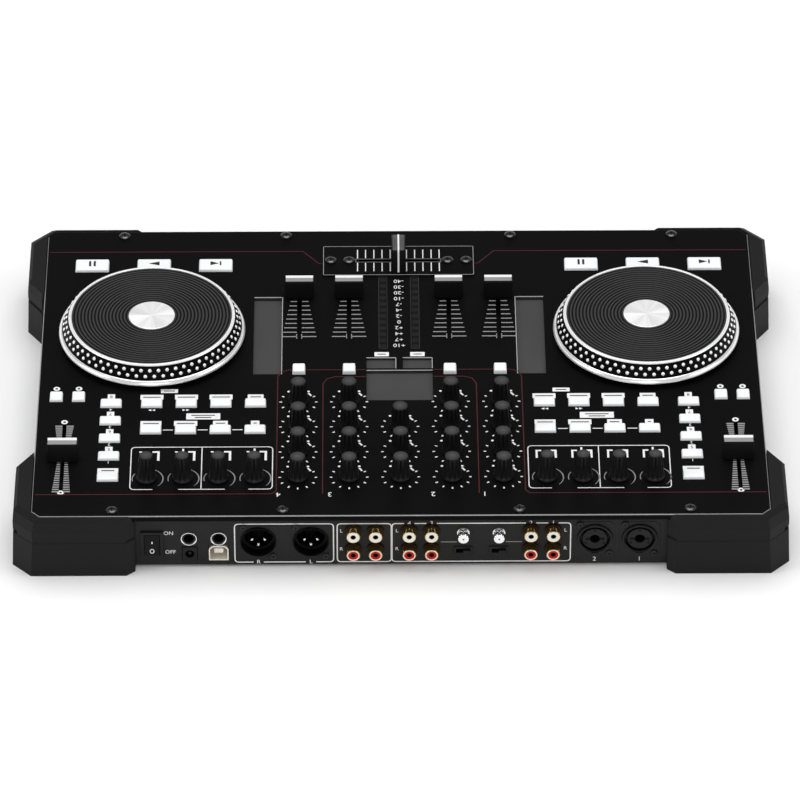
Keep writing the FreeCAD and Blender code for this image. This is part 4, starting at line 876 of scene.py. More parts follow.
class MIXER_OT_case(bpy.types.Operator):
    """Coat the top panel, base tray, board, jog bases, lenses, pads and crossfader plate"""
    bl_idname = "mixer.case"
    bl_label = "Case finishes"

    def execute(self, context):
        colours, sizes = context.scene.mixer_colours, context.scene.mixer_sizes
        dress_node("top_panel", panel_coat(colours, sizes))
        dress_node("base_tray", finish(
            "tray_coat", colours.tray, 0.5, specular=0.15, spread=0.4, grain=2400.0, bump=0.3,
            depth=0.00008))
        dress_node("control_board", board_laminate())
        dress_node("jog_bases", finish(
            "jog_base_plastic", colours.plastic, 0.22, specular=0.6, spread=0.3, bump=0.05))
        dress_node("meter_windows", meter_lens())
        dress_node("touch_pads", finish(
            "touch_film", colours.touch, 0.5, specular=0.15, spread=0.12, grain=3000.0, bump=0.1))
        dress_node("crossfader_plate", finish(
            "plate_coat", colours.panel, 0.45, specular=0.04, spread=0.5, grain=2600.0, bump=0.3))
        return {"FINISHED"}


class MIXER_OT_bumpers(bpy.types.Operator):
    """Finish the moulded corner bumpers, whose groove runs shallow across their rear and front"""
    bl_idname = "mixer.bumpers"
    bl_label = "Corner bumpers"

    def execute(self, context):
        colours = context.scene.mixer_colours
        moulding = finish("bumper_moulding", colours.bumper, 0.52, specular=0.1, spread=0.2,
                          grain=1500.0, bump=0.3, depth=0.00012)
        dress_node("corner_bumpers", moulding)
        infills = []
        for x in BOTH:
            for y in BOTH:
                outline = INFILL * (x, y)
                infills.append(prism(outline if x * y > 0 else outline[::-1], *GROOVE))
        piece("bumper_infills", joined(infills), moulding, "bumper_plastic")
        return {"FINISHED"}


def screw_head(radius, height):
    """Pan head: a low dome with a bevelled foot."""
    profile = np.array([(0.94, 0.0), (1.0, 0.15), (0.98, 0.5), (0.82, 0.82), (0.55, 0.97),
                        (0.2, 1.0)])
    return turned(profile * (radius, height), 32)


def cross_cut(radius, height):
    """The two bars of a cross recess, flush with the top of the head."""
    reach = radius * 0.5
    ends = [[(-reach, 0), (reach, 0)], [(0, -reach), (0, reach)]]
    return strips(ends, radius * 0.2, height * 0.5, height + 0.02)


class MIXER_OT_screws(bpy.types.Operator):
    """Make the panel, crossfader-plate and connector screws"""
    bl_idname = "mixer.screws"
    bl_label = "Screws"

    def execute(self, context):
        colours = context.scene.mixer_colours
        steel = finish("blackened_steel", colours.steel, 0.22, metallic=1.0, spread=0.2, bump=0.05)
        black = finish("black_oxide", (0.016, 0.016, 0.016), 0.35, metallic=0.6, spread=0.2,
                       bump=0.05)
        # Painted shade: the cross recesses are near-black bars that stand for the shade inside
        # them.
        recess_shade = finish("screw_recess", (0.002, 0.002, 0.002), 0.6, specular=0.1, spread=0.3)
        panel = [(side * x, y, 0.0) for side in BOTH for x in PANEL_SCREW_X
                 for y in (-PANEL_SCREW_Y, PANEL_SCREW_Y)]
        cross_y = node_middle("crossfader_plate")[1]
        panel += [(side * x, cross_y, PLATE_TOP - PANEL_TOP)
                  for side in BOTH for x in CROSS_SCREW_X]
        rounds = [(x, XLR_DROP) for x in XLR_X] + [(x, COMBO_DROP) for x in COMBO_X]
        wall = [(-(x + side * FLANGE_SCREW[0]), -drop + side * FLANGE_SCREW[1], FLANGE_SHEET)
                for x, drop in rounds for side in BOTH]
        piece("screw_heads", on_panel(repeated(screw_head(*PANEL_SCREW), panel)), steel,
              "screw_steel", stands_for=("screws",))
        piece("wall_screw_heads", on_rear(repeated(screw_head(*WALL_SCREW), wall)), black,
              "screw_steel")
        cuts = [on_panel(repeated(cross_cut(*PANEL_SCREW), panel)),
                on_rear(repeated(cross_cut(*WALL_SCREW), wall))]
        piece("screw_recess_shades", joined(cuts), recess_shade, "screw_steel")
        return {"FINISHED"}


def knob_grip(height, base, top, sizes, count=96):
    """Skirted grip whose radius falls from base to top.

    The flutes take off the positive half of a cosine in angle, to the power 1.5.
    """
    profile = [(6.1, 0.6), (6.4, 0.8), (6.4, 1.6), (6.2, 1.9), (base, 2.7), (base * 0.99, 3.4),
               ((base + top) / 2, height * 0.58), (top, height - 1.2), (top - 0.15, height - 0.6),
               (top - 0.5, height - 0.2), (top - 0.9, height - 0.05)]
    wave = np.clip(np.cos(sizes.flute_count * angles(count)), 0, 1) ** 1.5
    share = np.array([0, 0, 0, 0, 0, 0.8, 1.0, 1.0, 0.7, 0.35, 0.0])
    return turned(profile, count, share[:, None] * wave[None] * sizes.flute_depth / MM)


def knob_top(height, top):
    """Paler insert that covers the top of a knob, slightly domed."""
    return turned([(top - 0.45, height - 0.7), (top - 0.45, height - 0.22),
                   (top - 0.7, height - 0.05), (top * 0.7, height + 0.02),
                   (top * 0.3, height + 0.05)], 48)


class MIXER_OT_knobs(bpy.types.Operator):
    """Make the fluted knobs with their paler tops"""
    bl_idname = "mixer.knobs"
    bl_label = "Knobs"

    def execute(self, context):
        colours, sizes = context.scene.mixer_colours, context.scene.mixer_sizes
        rubber = finish("grip_rubber", colours.rubber, 0.36, specular=0.2, spread=0.3,
                        grain=2800.0, bump=0.2)
        paler = painted_fade_top(colours)
        shaft = turned([(3.0, -6.0), (3.0, 2.0)], 24)
        for node in [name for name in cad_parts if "_knob" in name]:
            height, base, top = DECK_KNOB if "effect" in node else CHANNEL_KNOB
            place = np.append(node_middle(node)[:2], PANEL_TOP)
            body = f"{node}_body"
            grip = moved(joined([knob_grip(height, base, top, sizes), shaft]), place)
            piece(f"{node}_grip", grip, rubber, "knob_rubber", body, (node,))
            insert = moved(knob_top(height, top), place)
            piece(f"{node}_insert", insert, paler, "knob_rubber", body, angle_map=place[:2])
        return {"FINISHED"}


def wedge_outline(base, top, height, dish):
    """Side view (Y, Z) of a fader cap: sloping faces, soft top edges and a dished top.

    The right half is (Y, Z) from foot to rim, and the left half is the same with Y turned over.
    """
    right = np.array([(base / 2, 0.0), (base / 2 - 0.1, 1.0), (top / 2 + 0.12, height - 1.0),
                      (top / 2 - 0.1, height - 0.35), (top / 2 - 0.55, height)])
    left = right[::-1] * (-1, 1)
    return np.vstack([left[-1:], right, [(0.0, height - dish)], left[:-1]])


def fader_solids(width, base, top, height):
    """Cap, inlaid top and white line of a cap that is long in X."""
    half, lip, bevel, stop = width / 2, top / 2 - 0.6, 0.35, 0.4
    cap = carried(wedge_outline(base, top, height, FADER_DISH),
                  [-half, -half + bevel, half - bevel, half], [bevel, 0, 0, bevel])
    valley, foot = height - FADER_DISH, height - (1 - stop) * FADER_DISH
    inlay = [(-lip, height - 0.06), (0.0, valley - 0.06), (lip, height - 0.06),
             (lip, height + 0.05), (0.0, valley + 0.05), (-lip, height + 0.05)]
    line = [(-lip, height - 0.02), (-stop * lip, foot - 0.02), (-stop * lip, foot + 0.12),
            (-lip, height + 0.12)]
    return (cap, carried(inlay, [-half + 0.5, half - 0.5]),
            carried(line, [-half + 0.45, half - 0.45]))


class MIXER_OT_faders(bpy.types.Operator):
    """Make the line, pitch and cross fader caps with their blades"""
    bl_idname = "mixer.faders"
    bl_label = "Faders"

    def execute(self, context):
        colours = context.scene.mixer_colours
        black = finish("cap_plastic", colours.fader, 0.4, specular=0.1, spread=0.3, grain=2600.0)
        silver = finish("fader_inlay", colours.fader_top, 0.38, metallic=0.2, spread=0.1,
                        grain=2600.0)
        grey = finish("cross_inlay", colours.cross_top, 0.4, specular=0.2, spread=0.15,
                      grain=2600.0)
        white = inks(colours)[0]
        blade = prism(box_outline(0.6, 2.5), -6.5, 2.0)
        for kind, size in FADER_CAPS.items():
            cap, inlay, line = fader_solids(*size)
            for node in [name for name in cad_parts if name.endswith(f"{kind}_fader")]:
                place = np.append(node_middle(node)[:2], PANEL_TOP + CAP_LIFT)
                body = f"{node}_body"
                piece(f"{node}_cap", moved(joined([cap, blade]), place), black, "fader_plastic",
                      body, (node,))
                piece(f"{node}_inlay", moved(inlay, place), silver, "fader_plastic", body)
                piece(f"{node}_line", moved(line, place), white, "fader_plastic", body)
        self.cross(black, grey, white)
        return {"FINISHED"}

    def cross(self, black, grey, white):
        """The crossfader's cap is narrow in X and long in depth."""
        base, top, height, half = CROSS_CAP
        bevel = 0.4
        body = "crossfader_body"
        place = np.append(node_middle("crossfader")[:2], PLATE_TOP + CAP_LIFT)
        cap = carried(wedge_outline(base, top, height, 0.0),
                      [-half, -half + bevel, half - bevel, half], [bevel, 0, 0, bevel])
        blade = prism(box_outline(2.5, 0.6), -7.0, 2.0)
        piece("crossfader_cap", moved(joined([cap, blade]), place), black, "fader_plastic", body,
              ("crossfader",))
        levels = [(height - 0.1, 0), (height + 0.05, 0), (height + 0.12, 0.1)]
        inlay = rounded_box((7.6, top - 1.4), levels, 0.6)
        piece("crossfader_inlay", moved(inlay, place), grey, "fader_plastic", body)
        stripe = np.array([(base / 2 + 0.06, 0.3), (base / 2 - 0.02, 1.0),
                           (top / 2 + 0.2, height - 1.0), (top / 2 - 0.02, height - 0.3),
                           (top / 2 - 0.45, height + 0.16), (-top / 2 + 0.45, height + 0.16),
                           (-top / 2 + 0.5, height - 0.4), (top / 2 - 0.6, height - 0.4),
                           (base / 2 - 0.6, 0.3)])
        stripe = carried(stripe[::-1], [-0.55, 0.55])
        piece("crossfader_line", moved(stripe, place), white, "fader_plastic", body)


def jog_cone():
    """Dark cone of the rim, from the band up to the ring, and the spindle below it."""
    cone = hoop([(57.5, 6.35), (57.4, 6.6), (53.3, 14.6), (52.9, 14.8), (50.2, 14.8),
                 (50.2, 6.35)], 128)
    spindle = turned([(4.0, -11.0), (4.0, 6.4)], 32)
    return joined([cone, spindle])


def jog_band():
    """Polished band round the foot of the rim."""
    return hoop([(54.6, 3.6), (59.2, 3.6), (59.5, 3.9), (59.4, 4.5), (59.15, 5.1), (58.8, 5.6),
                 (58.4, 6.0), (57.9, 6.3), (57.4, 6.45), (54.6, 6.45)], 160)


def jog_studs(sizes):
    """Two staggered rows of domed studs.

    Each is a flattened spherical cap stood on the cone along its normal.
    """
    radius = sizes.dot_radius / MM
    tilt = np.linspace(np.pi / 2, 0.35, 3)
    plan = radius * np.sin(tilt)[:, None, None] * rays(angles(10))
    dome, faces = skin(raised(plan, 0.55 * radius * np.cos(tilt)[:, None] - 0.05))
    foot, head = np.array([57.2, 6.9]), np.array([53.4, 14.5])
    slope = (head - foot) / np.linalg.norm(head - foot)
    out = np.array([slope[1], -slope[0]])
    solids = []
    for row, share in enumerate((0.27, 0.70)):
        angle = (np.arange(sizes.dot_count) + row / 2) * 2 * np.pi / sizes.dot_count
        radial = rays(angle)
        centre = foot + (head - foot) * share
        reach, height = (centre + dome[:, 1:2] * slope + dome[:, 2:] * out).T
        across = quarter_turn(radial)[:, None] * dome[None, :, :1]
        points = raised(radial[:, None] * reach[None, :, None] + across, height)
        solids.append((points.reshape(-1, 3), stepped(faces, sizes.dot_count, len(dome))))
    return joined(solids)


def jog_ring():
    """Polished ring round the disc."""
    return hoop([(51.1, 14.6), (53.1, 14.6), (53.1, 14.9), (52.75, 15.3), (52.4, 15.55),
                 (52.1, 15.6), (51.4, 15.6), (51.2, 15.5), (51.1, 15.2)], 160)


def jog_disc(sizes):
    """Disc whose height is a row of raised cosines in radius, one for each groove."""
    radius = np.linspace(DISC_OUTER, DISC_INNER, sizes.groove_count * 8 + 1)
    turn = 2 * np.pi * sizes.groove_count * (DISC_OUTER - radius) / (DISC_OUTER - DISC_INNER)
    wave = 0.5 - 0.5 * np.cos(turn)
    grooves = np.stack([radius, DISC_LEVEL - sizes.groove_depth / MM * wave ** 2], axis=1)
    edge = [(51.0, 14.0), (51.0, DISC_LEVEL - 0.15), (50.8, DISC_LEVEL)]
    return turned(np.vstack([edge, grooves, [(14.0, DISC_LEVEL)]]), 128)


def jog_cap():
    """Turned cap over the middle of the disc."""
    return turned([(14.7, 15.1), (14.7, 15.45), (14.45, 15.66), (14.0, 15.7), (7.0, 15.7),
                   (0.4, 15.7)], 96)


class MIXER_OT_jogs(bpy.types.Operator):
    """Make the jog wheels: band, studded cone, ring, grooved disc and turned cap"""
    bl_idname = "mixer.jogs"
    bl_label = "Jog wheels"

    def execute(self, context):
        colours, sizes = context.scene.mixer_colours, context.scene.mixer_sizes
        band = finish("jog_band_metal", (0.93, 0.93, 0.93), 0.2, metallic=0.55, spread=0.04,
                      bump=0.02)
        cone = finish("cone_plastic", colours.cone, 0.4, specular=0.05, spread=0.25)
        vinyl = grooved_vinyl(colours, sizes)
        polished = finish("jog_ring_metal", (0.93, 0.93, 0.94), 0.3, metallic=0.35, spread=0.04,
                          bump=0.03)
        satin = finish("stud_metal", (0.95, 0.95, 0.95), 0.28, metallic=0.25, spread=0.04,
                       bump=0.03)
        aluminium = brushed_metal()
        for side in SIDES:
            node = f"{side}_jog_wheel"
            place = np.append(JOG[side][:2], PANEL_TOP)
            rows = (("cone", jog_cone(), cone, {"stands_for": (node,)}),
                    ("band", jog_band(), band, {}),
                    ("studs", jog_studs(sizes), satin, {"crease": 60.0}),
                    ("ring", jog_ring(), polished, {}),
                    ("disc", jog_disc(sizes), vinyl, {"crease": 70.0}),
                    ("cap", jog_cap(), aluminium, {"angle_map": place[:2]}))
            for name, solid, material, options in rows:
                piece(f"{node}_{name}", moved(solid, place), material, "jog_plastic",
                      f"{node}_body", **options)
        return {"FINISHED"}


def key_solid(size, corner):
    """Push key: a straight stem through the panel, a slight draft and a softly bevelled head."""
    height = size[2]
    levels = [(-KEY_STEM, 0.0), (0.0, 0.0), (height - 0.6, 0.28), (height - 0.3, 0.4),
              (height - 0.1, 0.6), (height, 0.95)]
    return rounded_box(size[:2], levels, corner)


def deck_offset(side):
    """The left deck repeats the right deck's order, so its places slide over and don't mirror."""
    return 0.0 if side > 0 else -(2 * PAD_X + 3 * PAD_PITCH)


def deck_knobs(name):
    """Middles of a deck's four knobs, from the user's right."""
    knobs = np.array([node_middle(f"{name}_effect_knob_{index}")[:2] for index in range(1, 5)])
    return knobs[np.argsort(-knobs[:, 0])]


class MIXER_OT_keys(bpy.types.Operator):
    """Make the transport, pad, bend and cue keys with their symbols"""
    bl_idname = "mixer.keys"
    bl_label = "Keys"

    def execute(self, context):
        colours, sizes = context.scene.mixer_colours, context.scene.mixer_sizes
        white = finish("lit_key", colours.key, 0.42, specular=0.4, spread=0.03, bump=0.04)
        dark = inks(colours)[3]
        corner = sizes.key_corner / MM
        for name, side in SIDES.items():
            transport = [(side * TRANSPORT_X + step * TRANSPORT_PITCH, TRANSPORT_Y)
                         for step in (-1, 0, 1)]
            node = f"{name}_transport_buttons"
            self.key_set(node, repeated(key_solid(TRANSPORT_KEY, corner), transport), white)
            symbols = on_panel(self.symbols(transport))
            piece(f"{node}_symbols", symbols, dark, "key_plastic", f"{node}_body")
            pads = [(side * (PAD_X + PAD_PITCH * index), row)
                    for row in PAD_ROWS for index in range(4)]
            pads += [(side * HOTCUE_X, row) for row in HOTCUE_ROWS]
            pads.append((side * HOTCUE_X, SYNC_Y))
            bends = [(side * x, BEND_Y) for x in BEND_X]
            keys = joined([repeated(key_solid(PAD_KEY, corner), pads),
                           repeated(key_solid(BEND_KEY, corner), bends)])
            self.key_set(f"{name}_pad_buttons", keys, white)
        cues = repeated(key_solid(CUE_KEY, corner), [(x, CUE_Y) for x in CHANNEL_X])
        self.key_set("channel_cue_buttons", cues, white)
        return {"FINISHED"}

    def key_set(self, node, keys, material):
        """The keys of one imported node, on its body."""
        piece(f"{node}_keys", on_panel(keys), material, "key_plastic", f"{node}_body", (node,))

    def symbols(self, places):
        """Return-to-start, play and pause marks on the three transport keys."""
        low, high = TRANSPORT_KEY[2] - 0.05, TRANSPORT_KEY[2] + 0.05
        start_x, play_x, pause_x = (x for x, _ in places)
        y = TRANSPORT_Y - 0.9
        triangle = np.array([(-3.5, -2.1), (3.5, 0.0), (-3.5, 2.1)])
        play = prism(triangle + (play_x, y), low, high)
        back = prism(triangle[::-1] * (-0.8, 1) + (start_x + 0.7, y), low, high)
        bars = [(start_x - 3.1, 1.0, 2.1), (pause_x - 1.5, 1.4, 2.8), (pause_x + 1.5, 1.4, 2.8)]
        marks = [prism(box_outline(width / 2, half, x, y), low, high) for x, width, half in bars]
        return joined([play, back] + marks)


class MIXER_OT_panel_print(bpy.types.Operator):
    """Print the scales, frames, tabs and section lines on the top panel"""
    bl_idname = "mixer.panel_print"
    bl_label = "Panel print"

    def execute(self, context):
        colours, sizes = context.scene.mixer_colours, context.scene.mixer_sizes
        white, grey, red, dark = inks(colours)
        # Painted highlight: pale grey for the lit edges of the touch windows.
        cut = finish("painted_edge_highlight", (0.42, 0.42, 0.42), 0.4, spread=0.1, grain=1600.0)
        dim = finish("dim_ink", (0.05, 0.05, 0.05), 0.55, specular=0.1, spread=0.1, bump=0.05)
        self.low, self.high = -0.02, sizes.print_height / MM
        bright = self.knob_scales() + self.deck_marks() + self.load_tabs() + self.figures()
        # Grey print, with the painted highlight arcs beside the deck knobs
        faint_print_and_glints = self.fader_scales() + self.skirt_glints()
        pad_top = node_box("touch_pads")[1][2]
        rows = (("white_print", bright, white, PANEL_TOP, "panel_paint"),
                ("grey_print_and_glints", faint_print_and_glints, grey, PANEL_TOP, "panel_paint"),
                ("red_print", self.section_lines(), red, PANEL_TOP, "panel_paint"),
                ("tab_print", self.tab_marks(), dark, PANEL_TOP, "panel_paint"),
                ("cross_print", self.cross_ticks(), white, PLATE_TOP, "panel_paint"),
                ("cross_border", self.cross_border(), grey, PLATE_TOP, "panel_paint"),
                ("window_edge_highlights", self.window_edge_highlights(), cut, PANEL_TOP, "panel_paint"),
                # Painted shade: dark strips on the pads under the windows' far edges
                ("window_shades", self.window_shades(), dark, pad_top, "touch_plastic"),
                ("meter_frames", self.frames(), dim, PANEL_TOP, "panel_paint"))
        for name, solids, ink, level, slot in rows:
            piece(name, moved(joined(solids), (0, 0, level)), ink, slot)
        return {"FINISHED"}

    def line(self, path, width, closed=False):
        """A printed line along a path."""
        return ribbon(path, width, self.low, self.high, closed)

    def bars(self, ends, width):
        """Printed bars between pairs of ends."""
        return strips(ends, width, self.low, self.high)

    def plate(self, half_x, half_y, x, y):
        """A printed tab with soft corners."""
        return prism(softened(box_outline(half_x, half_y, x, y), 0.35, 3), self.low, self.high)

    def knob_scales(self):
        """Nine dashes on a ring round each channel knob, a dot at each end and a short stroke."""
        centres = [node_middle(name)[:2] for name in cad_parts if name.endswith("_knob")]
        inner, outer, end = 10.4, 12.0, 12.6
        dashes = np.stack([arc_path(radius, -120, 120, 9) for radius in (inner, outer)], axis=1)
        dot = prism(circle_outline(0.85, 12), self.low, self.high)
        mark = joined([self.bars(dashes, 0.9), repeated(dot, arc_path(end, -150, 150, 2)),
                       self.bars([[(-6.2, -9.2), (-8.0, -6.4)]], 1.2)])
        return [repeated(mark, centres)]

    def deck_marks(self):
        """Boxes and brackets round the deck knobs, label tabs, links between pads, and rings."""
        ring = hoop([(2.1, self.low), (2.1, self.high), (0.85, self.high), (0.85, self.low)], 20)
        start, end = (PAD_X + PAD_PITCH * (np.arange(3) + share) for share in (0.36, 0.65))
        links = bar_ends(start, PAD_ROWS[1], end, PAD_ROWS[1])
        places = [(x, BEND_Y - 8.6) for x in BEND_X] + [(PITCH_X + 0.1, y) for y in (54.4, 126.0)]
        solids = []
        for name, side in SIDES.items():
            solids.extend(self.knob_box(name, deck_offset(side)))
            solids.append(self.bars(links * (side, 1), 0.7))
            solids.extend(self.tabs(side))
            solids.append(repeated(ring, np.array(places) * (side, 1)))
        return solids

    def knob_box(self, name, shift):
        """Box of four deck knobs, open twice behind, with a mark on both sides of each knob."""
        middle, half_x, front, rear, line = 123.8, 44.1, 80.5, 123.2, 0.6
        outline = box_outline(half_x, (rear - front) / 2, middle, (rear + front) / 2)
        corners = softened(outline, 3.0, 6).reshape(4, -1, 2)
        round_front = np.roll(corners, 1, axis=0).reshape(-1, 2)
        path = np.vstack([[(94.5, rear)], round_front, [(153.9, rear)]])
        lines = bar_ends((109.0, middle), (rear, front), (137.9, middle), rear)
        knobs = deck_knobs(name)
        bracket_y = 85.4
        foot = bracket_y - knobs[0, 1]
        left_deck = name == "left"
        reach, length = (5.9, 7.4) if left_deck else (6.8, 8.8)
        corner = np.array([(-3.0, foot), (-reach, foot), (-reach, foot + length)])
        bracket = self.line(corner, 1.5)
        if left_deck:
            beside = self.line(corner * (-1, 1), 1.3)
        else:
            beside = self.bars([[(3.4, foot), (5.2, foot)]], 1.2)
        tick = self.bars([[(0.2, foot - 3.2), (0.2, foot + 1.2)]], 1.2)
        return [self.line(path + (shift, 0), line), self.bars(lines + (shift, 0), line),
                repeated(joined([bracket, beside]), knobs), repeated(tick, knobs[1::2])]

    def skirt_glints(self):
        """Painted highlights: a swelling arc and a thin one beside each deck knob, for glints on
        the knobs' glossy skirts.
        """
        swell = np.sin(np.linspace(0.05, np.pi * 0.95, 20)) * 0.7 + 0.12
        arcs = joined([self.line(arc_path(10.2, -45, -150, 20), swell),
                       self.line(arc_path(9.0, 75, 125), 0.6)])
        return [repeated(arcs, np.concatenate([deck_knobs(name) for name in SIDES]))]

    def tabs(self, side):
        """White label tabs against the user's side of the keys, and arrows between the rows."""
        shift = deck_offset(side)
        solids = [self.plate(*tab) for tab in self.pad_tabs(shift)]
        solids += [self.plate(2.35, 2.8, side * HOTCUE_X, row - 6.9) for row in HOTCUE_ROWS]
        solids += [self.plate(6.5, 2.5, side * HOTCUE_X, SYNC_Y - 6.6),
                   self.plate(5.4, 1.95, LOOP_TAB_X + shift, LOOP_TAB_Y),
                   self.plate(10.7, 3.1, LABEL_TAB_X + shift, LABEL_TAB_Y)]
        arrow = np.array([(0.0, 0.0), (-2.0, 1.0), (-2.0, -1.0)])
        for sign in BOTH:
            outline = (arrow if sign > 0 else arrow[::-1]) * (sign, 1)
            for step in (10.6, 13.0):
                tip = (LOOP_TAB_X + shift + sign * step, 42.3)
                solids.append(prism(outline + tip, self.low, self.high))
        return solids

    def pad_tabs(self, shift):
        """Half sizes and middles of the tabs before the pads."""
        widths = ((5.0, 7.25, 7.25, 7.25), (2.7, 4.65, 7.3, 6.6))
        return [(width, 2.55, PAD_X + PAD_PITCH * index + shift, row - 6.7)
                for row, row_widths in zip(PAD_ROWS, widths)
                for index, width in enumerate(row_widths)]

    def load_tabs(self):
        """The two tabs before the load keys."""
        return [self.plate(4.6, 2.2, x, LOAD_TAB_Y) for x in LOAD_TAB_X]

    def tab_marks(self):
        """Dark figures on the narrow tabs and short dark bars on the wide ones."""
        low, high = self.high - 0.01, self.high + 0.03
        solids = []
        marks = [(x, LOAD_TAB_Y, 2.6) for x in LOAD_TAB_X]
        for side in SIDES.values():
            shift = deck_offset(side)
            solids += [lettered(str(8 - index), 3.6, 0.05, (side * HOTCUE_X, row - 7.2, high))
                       for index, row in enumerate(HOTCUE_ROWS)]
            marks += [(x, y, width - 1.7) for width, _, x, y in self.pad_tabs(shift)]
            marks += [(side * HOTCUE_X, SYNC_Y - 6.8, 4.0), (LOOP_TAB_X + shift, LOOP_TAB_Y, 3.4),
                      (LABEL_TAB_X + shift, LABEL_TAB_Y - 1.0, 7.4),
                      (LABEL_TAB_X + shift, LABEL_TAB_Y + 1.2, 5.2)]
        x, y, half = np.array(marks).T
        solids.append(strips(bar_ends(x - half, y, x + half, y), 0.9, low, high))
        return solids

    def figures(self):
        """Plain figures: the meter scale between the lenses, hot-cue and channel numbers."""
        scale = ("-40", "-30", "-20", "-10", "-7", "-4", "-2", "0", "+2", "+4", "+7", "+10")
        front, pitch = -93.9, 6.28
        rows = [(mark, 5.0, 0.0, front + pitch * step) for step, mark in enumerate(scale)]
        rows += [(str(4 - index), 3.6, side * HOTCUE_X, row + 6.0)
                 for side in SIDES.values() for index, row in enumerate(HOTCUE_ROWS)]
        beside, rear = 12.0, 128.6
        rows += [(str(index + 1), 6.0, x + beside, rear) for index, x in enumerate(CHANNEL_X)]
        return [lettered(words, size, 0.06, (x, y, FIGURE_LIFT)) for words, size, x, y in rows]

    def fader_scales(self):
        """Tapering ladders beside the line faders and wedge scales beside the pitch faders."""
        rear, pitch, widest, narrowest, steps = -34.4, 4.72, 11.0, 4.4, 10
        row = np.arange(steps + 1)
        y = rear - pitch * row
        reach = widest - (widest - narrowest) * row / steps
        solids = []
        for x in CHANNEL_X:
            for side in BOTH:
                near = x + side * 1.6
                solids.append(self.bars(bar_ends(near, y, x + side * reach, y), 0.85))
                solids.append(self.bars([[(near, -32.2), (near, -37.0)]], 0.5))
        for deck in SIDES.values():
            for side in BOTH:
                solids.append(self.pitch_wedge(deck * PITCH_X, side, (58.6, 84.0), (5.8, 3.1)))
                solids.append(self.pitch_wedge(deck * PITCH_X, side, (95.4, 125.0), (3.3, 5.6)))
        return solids

    def pitch_wedge(self, x, side, span, reach):
        """Ticks from the slot outwards between two depths, their reach changing evenly."""
        y = np.linspace(*span, 14)
        far = x + side * np.linspace(*reach, 14)
        return self.bars(bar_ends(x + side * 1.3, y, far, y), 1.2)

    def frames(self):
        """Thin outlines round the meter lenses."""
        half_x, half_y, middle = 2.65, 38.6, -59.8
        return [self.line(softened(box_outline(half_x, half_y, x, middle), 0.6, 3), 0.25, True)
                for x in (-METER_X, METER_X)]

    def section_lines(self):
        """Red lines: front and rear borders and the two nested channel frames."""
        edge = PANEL_HIGH[0] - 2.0
        paths = ([(edge, -127.0), (62.0, -127.0), (51.6, -113.5), (49.2, -113.5)],
                 [(edge, 128.0), (80.0, 128.0), (77.2, 125.2), (77.2, 8.0), (75.2, 3.0),
                  (70.0, 0.9), (21.4, 0.9)],
                 [(48.5, 128.0), (48.5, 15.5), (46.0, 10.4), (41.0, 8.2), (21.4, 8.2)])
        return [self.line(np.array(path) * (side, 1), 0.7)
                for side in SIDES.values() for path in paths]

    def cross_ticks(self):
        """Ticks before and behind the crossfader's slot."""
        x = np.outer((5.3, 10.6, 15.9, 21.3, 26.5), BOTH).ravel()
        near, far = 2.4, 11.8
        before = bar_ends(x, CROSS_Y - far, x, CROSS_Y - near)
        behind = bar_ends(x, CROSS_Y + near, x, CROSS_Y + far)
        return [self.bars(np.concatenate([before, behind]), 0.65)]

    def cross_border(self):
        """Border of the crossfader plate and the edge of its slot."""
        border = softened(box_outline(*CROSS_BORDER, 0, CROSS_Y), 0.8, 3)
        return [self.line(border, 0.4, True),
                self.line(box_outline(*CROSS_SLOT, 0, CROSS_Y), 0.25, True)]

    def window_edge_highlights(self):
        """Painted highlights: pale strips on the far side of the touch windows and on one of their
        ends, where their edges catch the light.
        """
        width = 0.45
        inset = width / 2
        edges = []
        for side in BOTH:
            inner, outer = side * (STRIP_ENDS[0] + inset), side * STRIP_ENDS[1]
            far = STRIP_Y[0] + inset
            edges += [[(inner, far), (outer, far)], [(inner, STRIP_Y[0]), (inner, STRIP_Y[1])]]
            low_x, high_x = side * LOAD_X - LOAD_HALF, side * LOAD_X + LOAD_HALF
            far = LOAD_Y[0] + inset
            edges += [[(low_x, far), (high_x, far)],
                      [(low_x + inset, LOAD_Y[0]), (low_x + inset, LOAD_Y[1])]]
        far = TRACKPAD_Y + inset
        edges.append([(-TRACKPAD_HALF, far), (TRACKPAD_HALF, far)])
        return [strips(edges, width, -0.5, 0.03)]

    def window_shades(self):
        """Dark strips on the touch pads under the far edges of their windows: painted shade from
        those edges.
        """
        wide, narrow, low, high = 1.3, 0.9, -0.05, 0.03
        inner, far = STRIP_ENDS[0] + 0.5, STRIP_Y[0] + 0.5 + wide / 2
        ends = [[(side * inner, far), (side * STRIP_ENDS[1], far)] for side in BOTH]
        far = TRACKPAD_Y + 0.45 + narrow / 2
        pad_ends = [[(-TRACKPAD_HALF, far), (TRACKPAD_HALF, far)]]
        return [strips(ends, wide, low, high), strips(pad_ends, narrow, low, high)]


def wall_places(columns, drop):
    """Places of one row on the rear wall as seen from behind."""
    return [(-x, -drop) for x in columns]


def round_flange():
    """Plate with cut corners round a hole: outer and inner outlines joined front and back."""
    ray = rays(angles(64))
    half = np.array(FLANGE_HALF)
    reach = 1 / np.max(np.abs(ray) / half, axis=1)
    reach = np.minimum(reach, (half.sum() - FLANGE_CUT) / np.abs(ray).sum(axis=1))
    outer, hole = ray * reach[:, None], ray * FLANGE_HOLE
    outlines = np.stack([outer, outer, outer * 0.99, hole, hole])
    heights = np.array([0.0, 0.6, 1.0, 1.0, 0.0]) * FLANGE_SHEET
    return ring_skin(raised(outlines, heights[:, None]))


def jack_nut(radius, bore):
    """Round nut of a jack, let into the wall."""
    return hoop([(bore, -1.5), (radius - 0.8, -1.5), (radius - 0.8, 0.0), (radius, 0.0),
                 (radius, 0.9), (radius - 0.3, 1.4), (bore + 0.3, 1.4), (bore, 1.1)], 48)


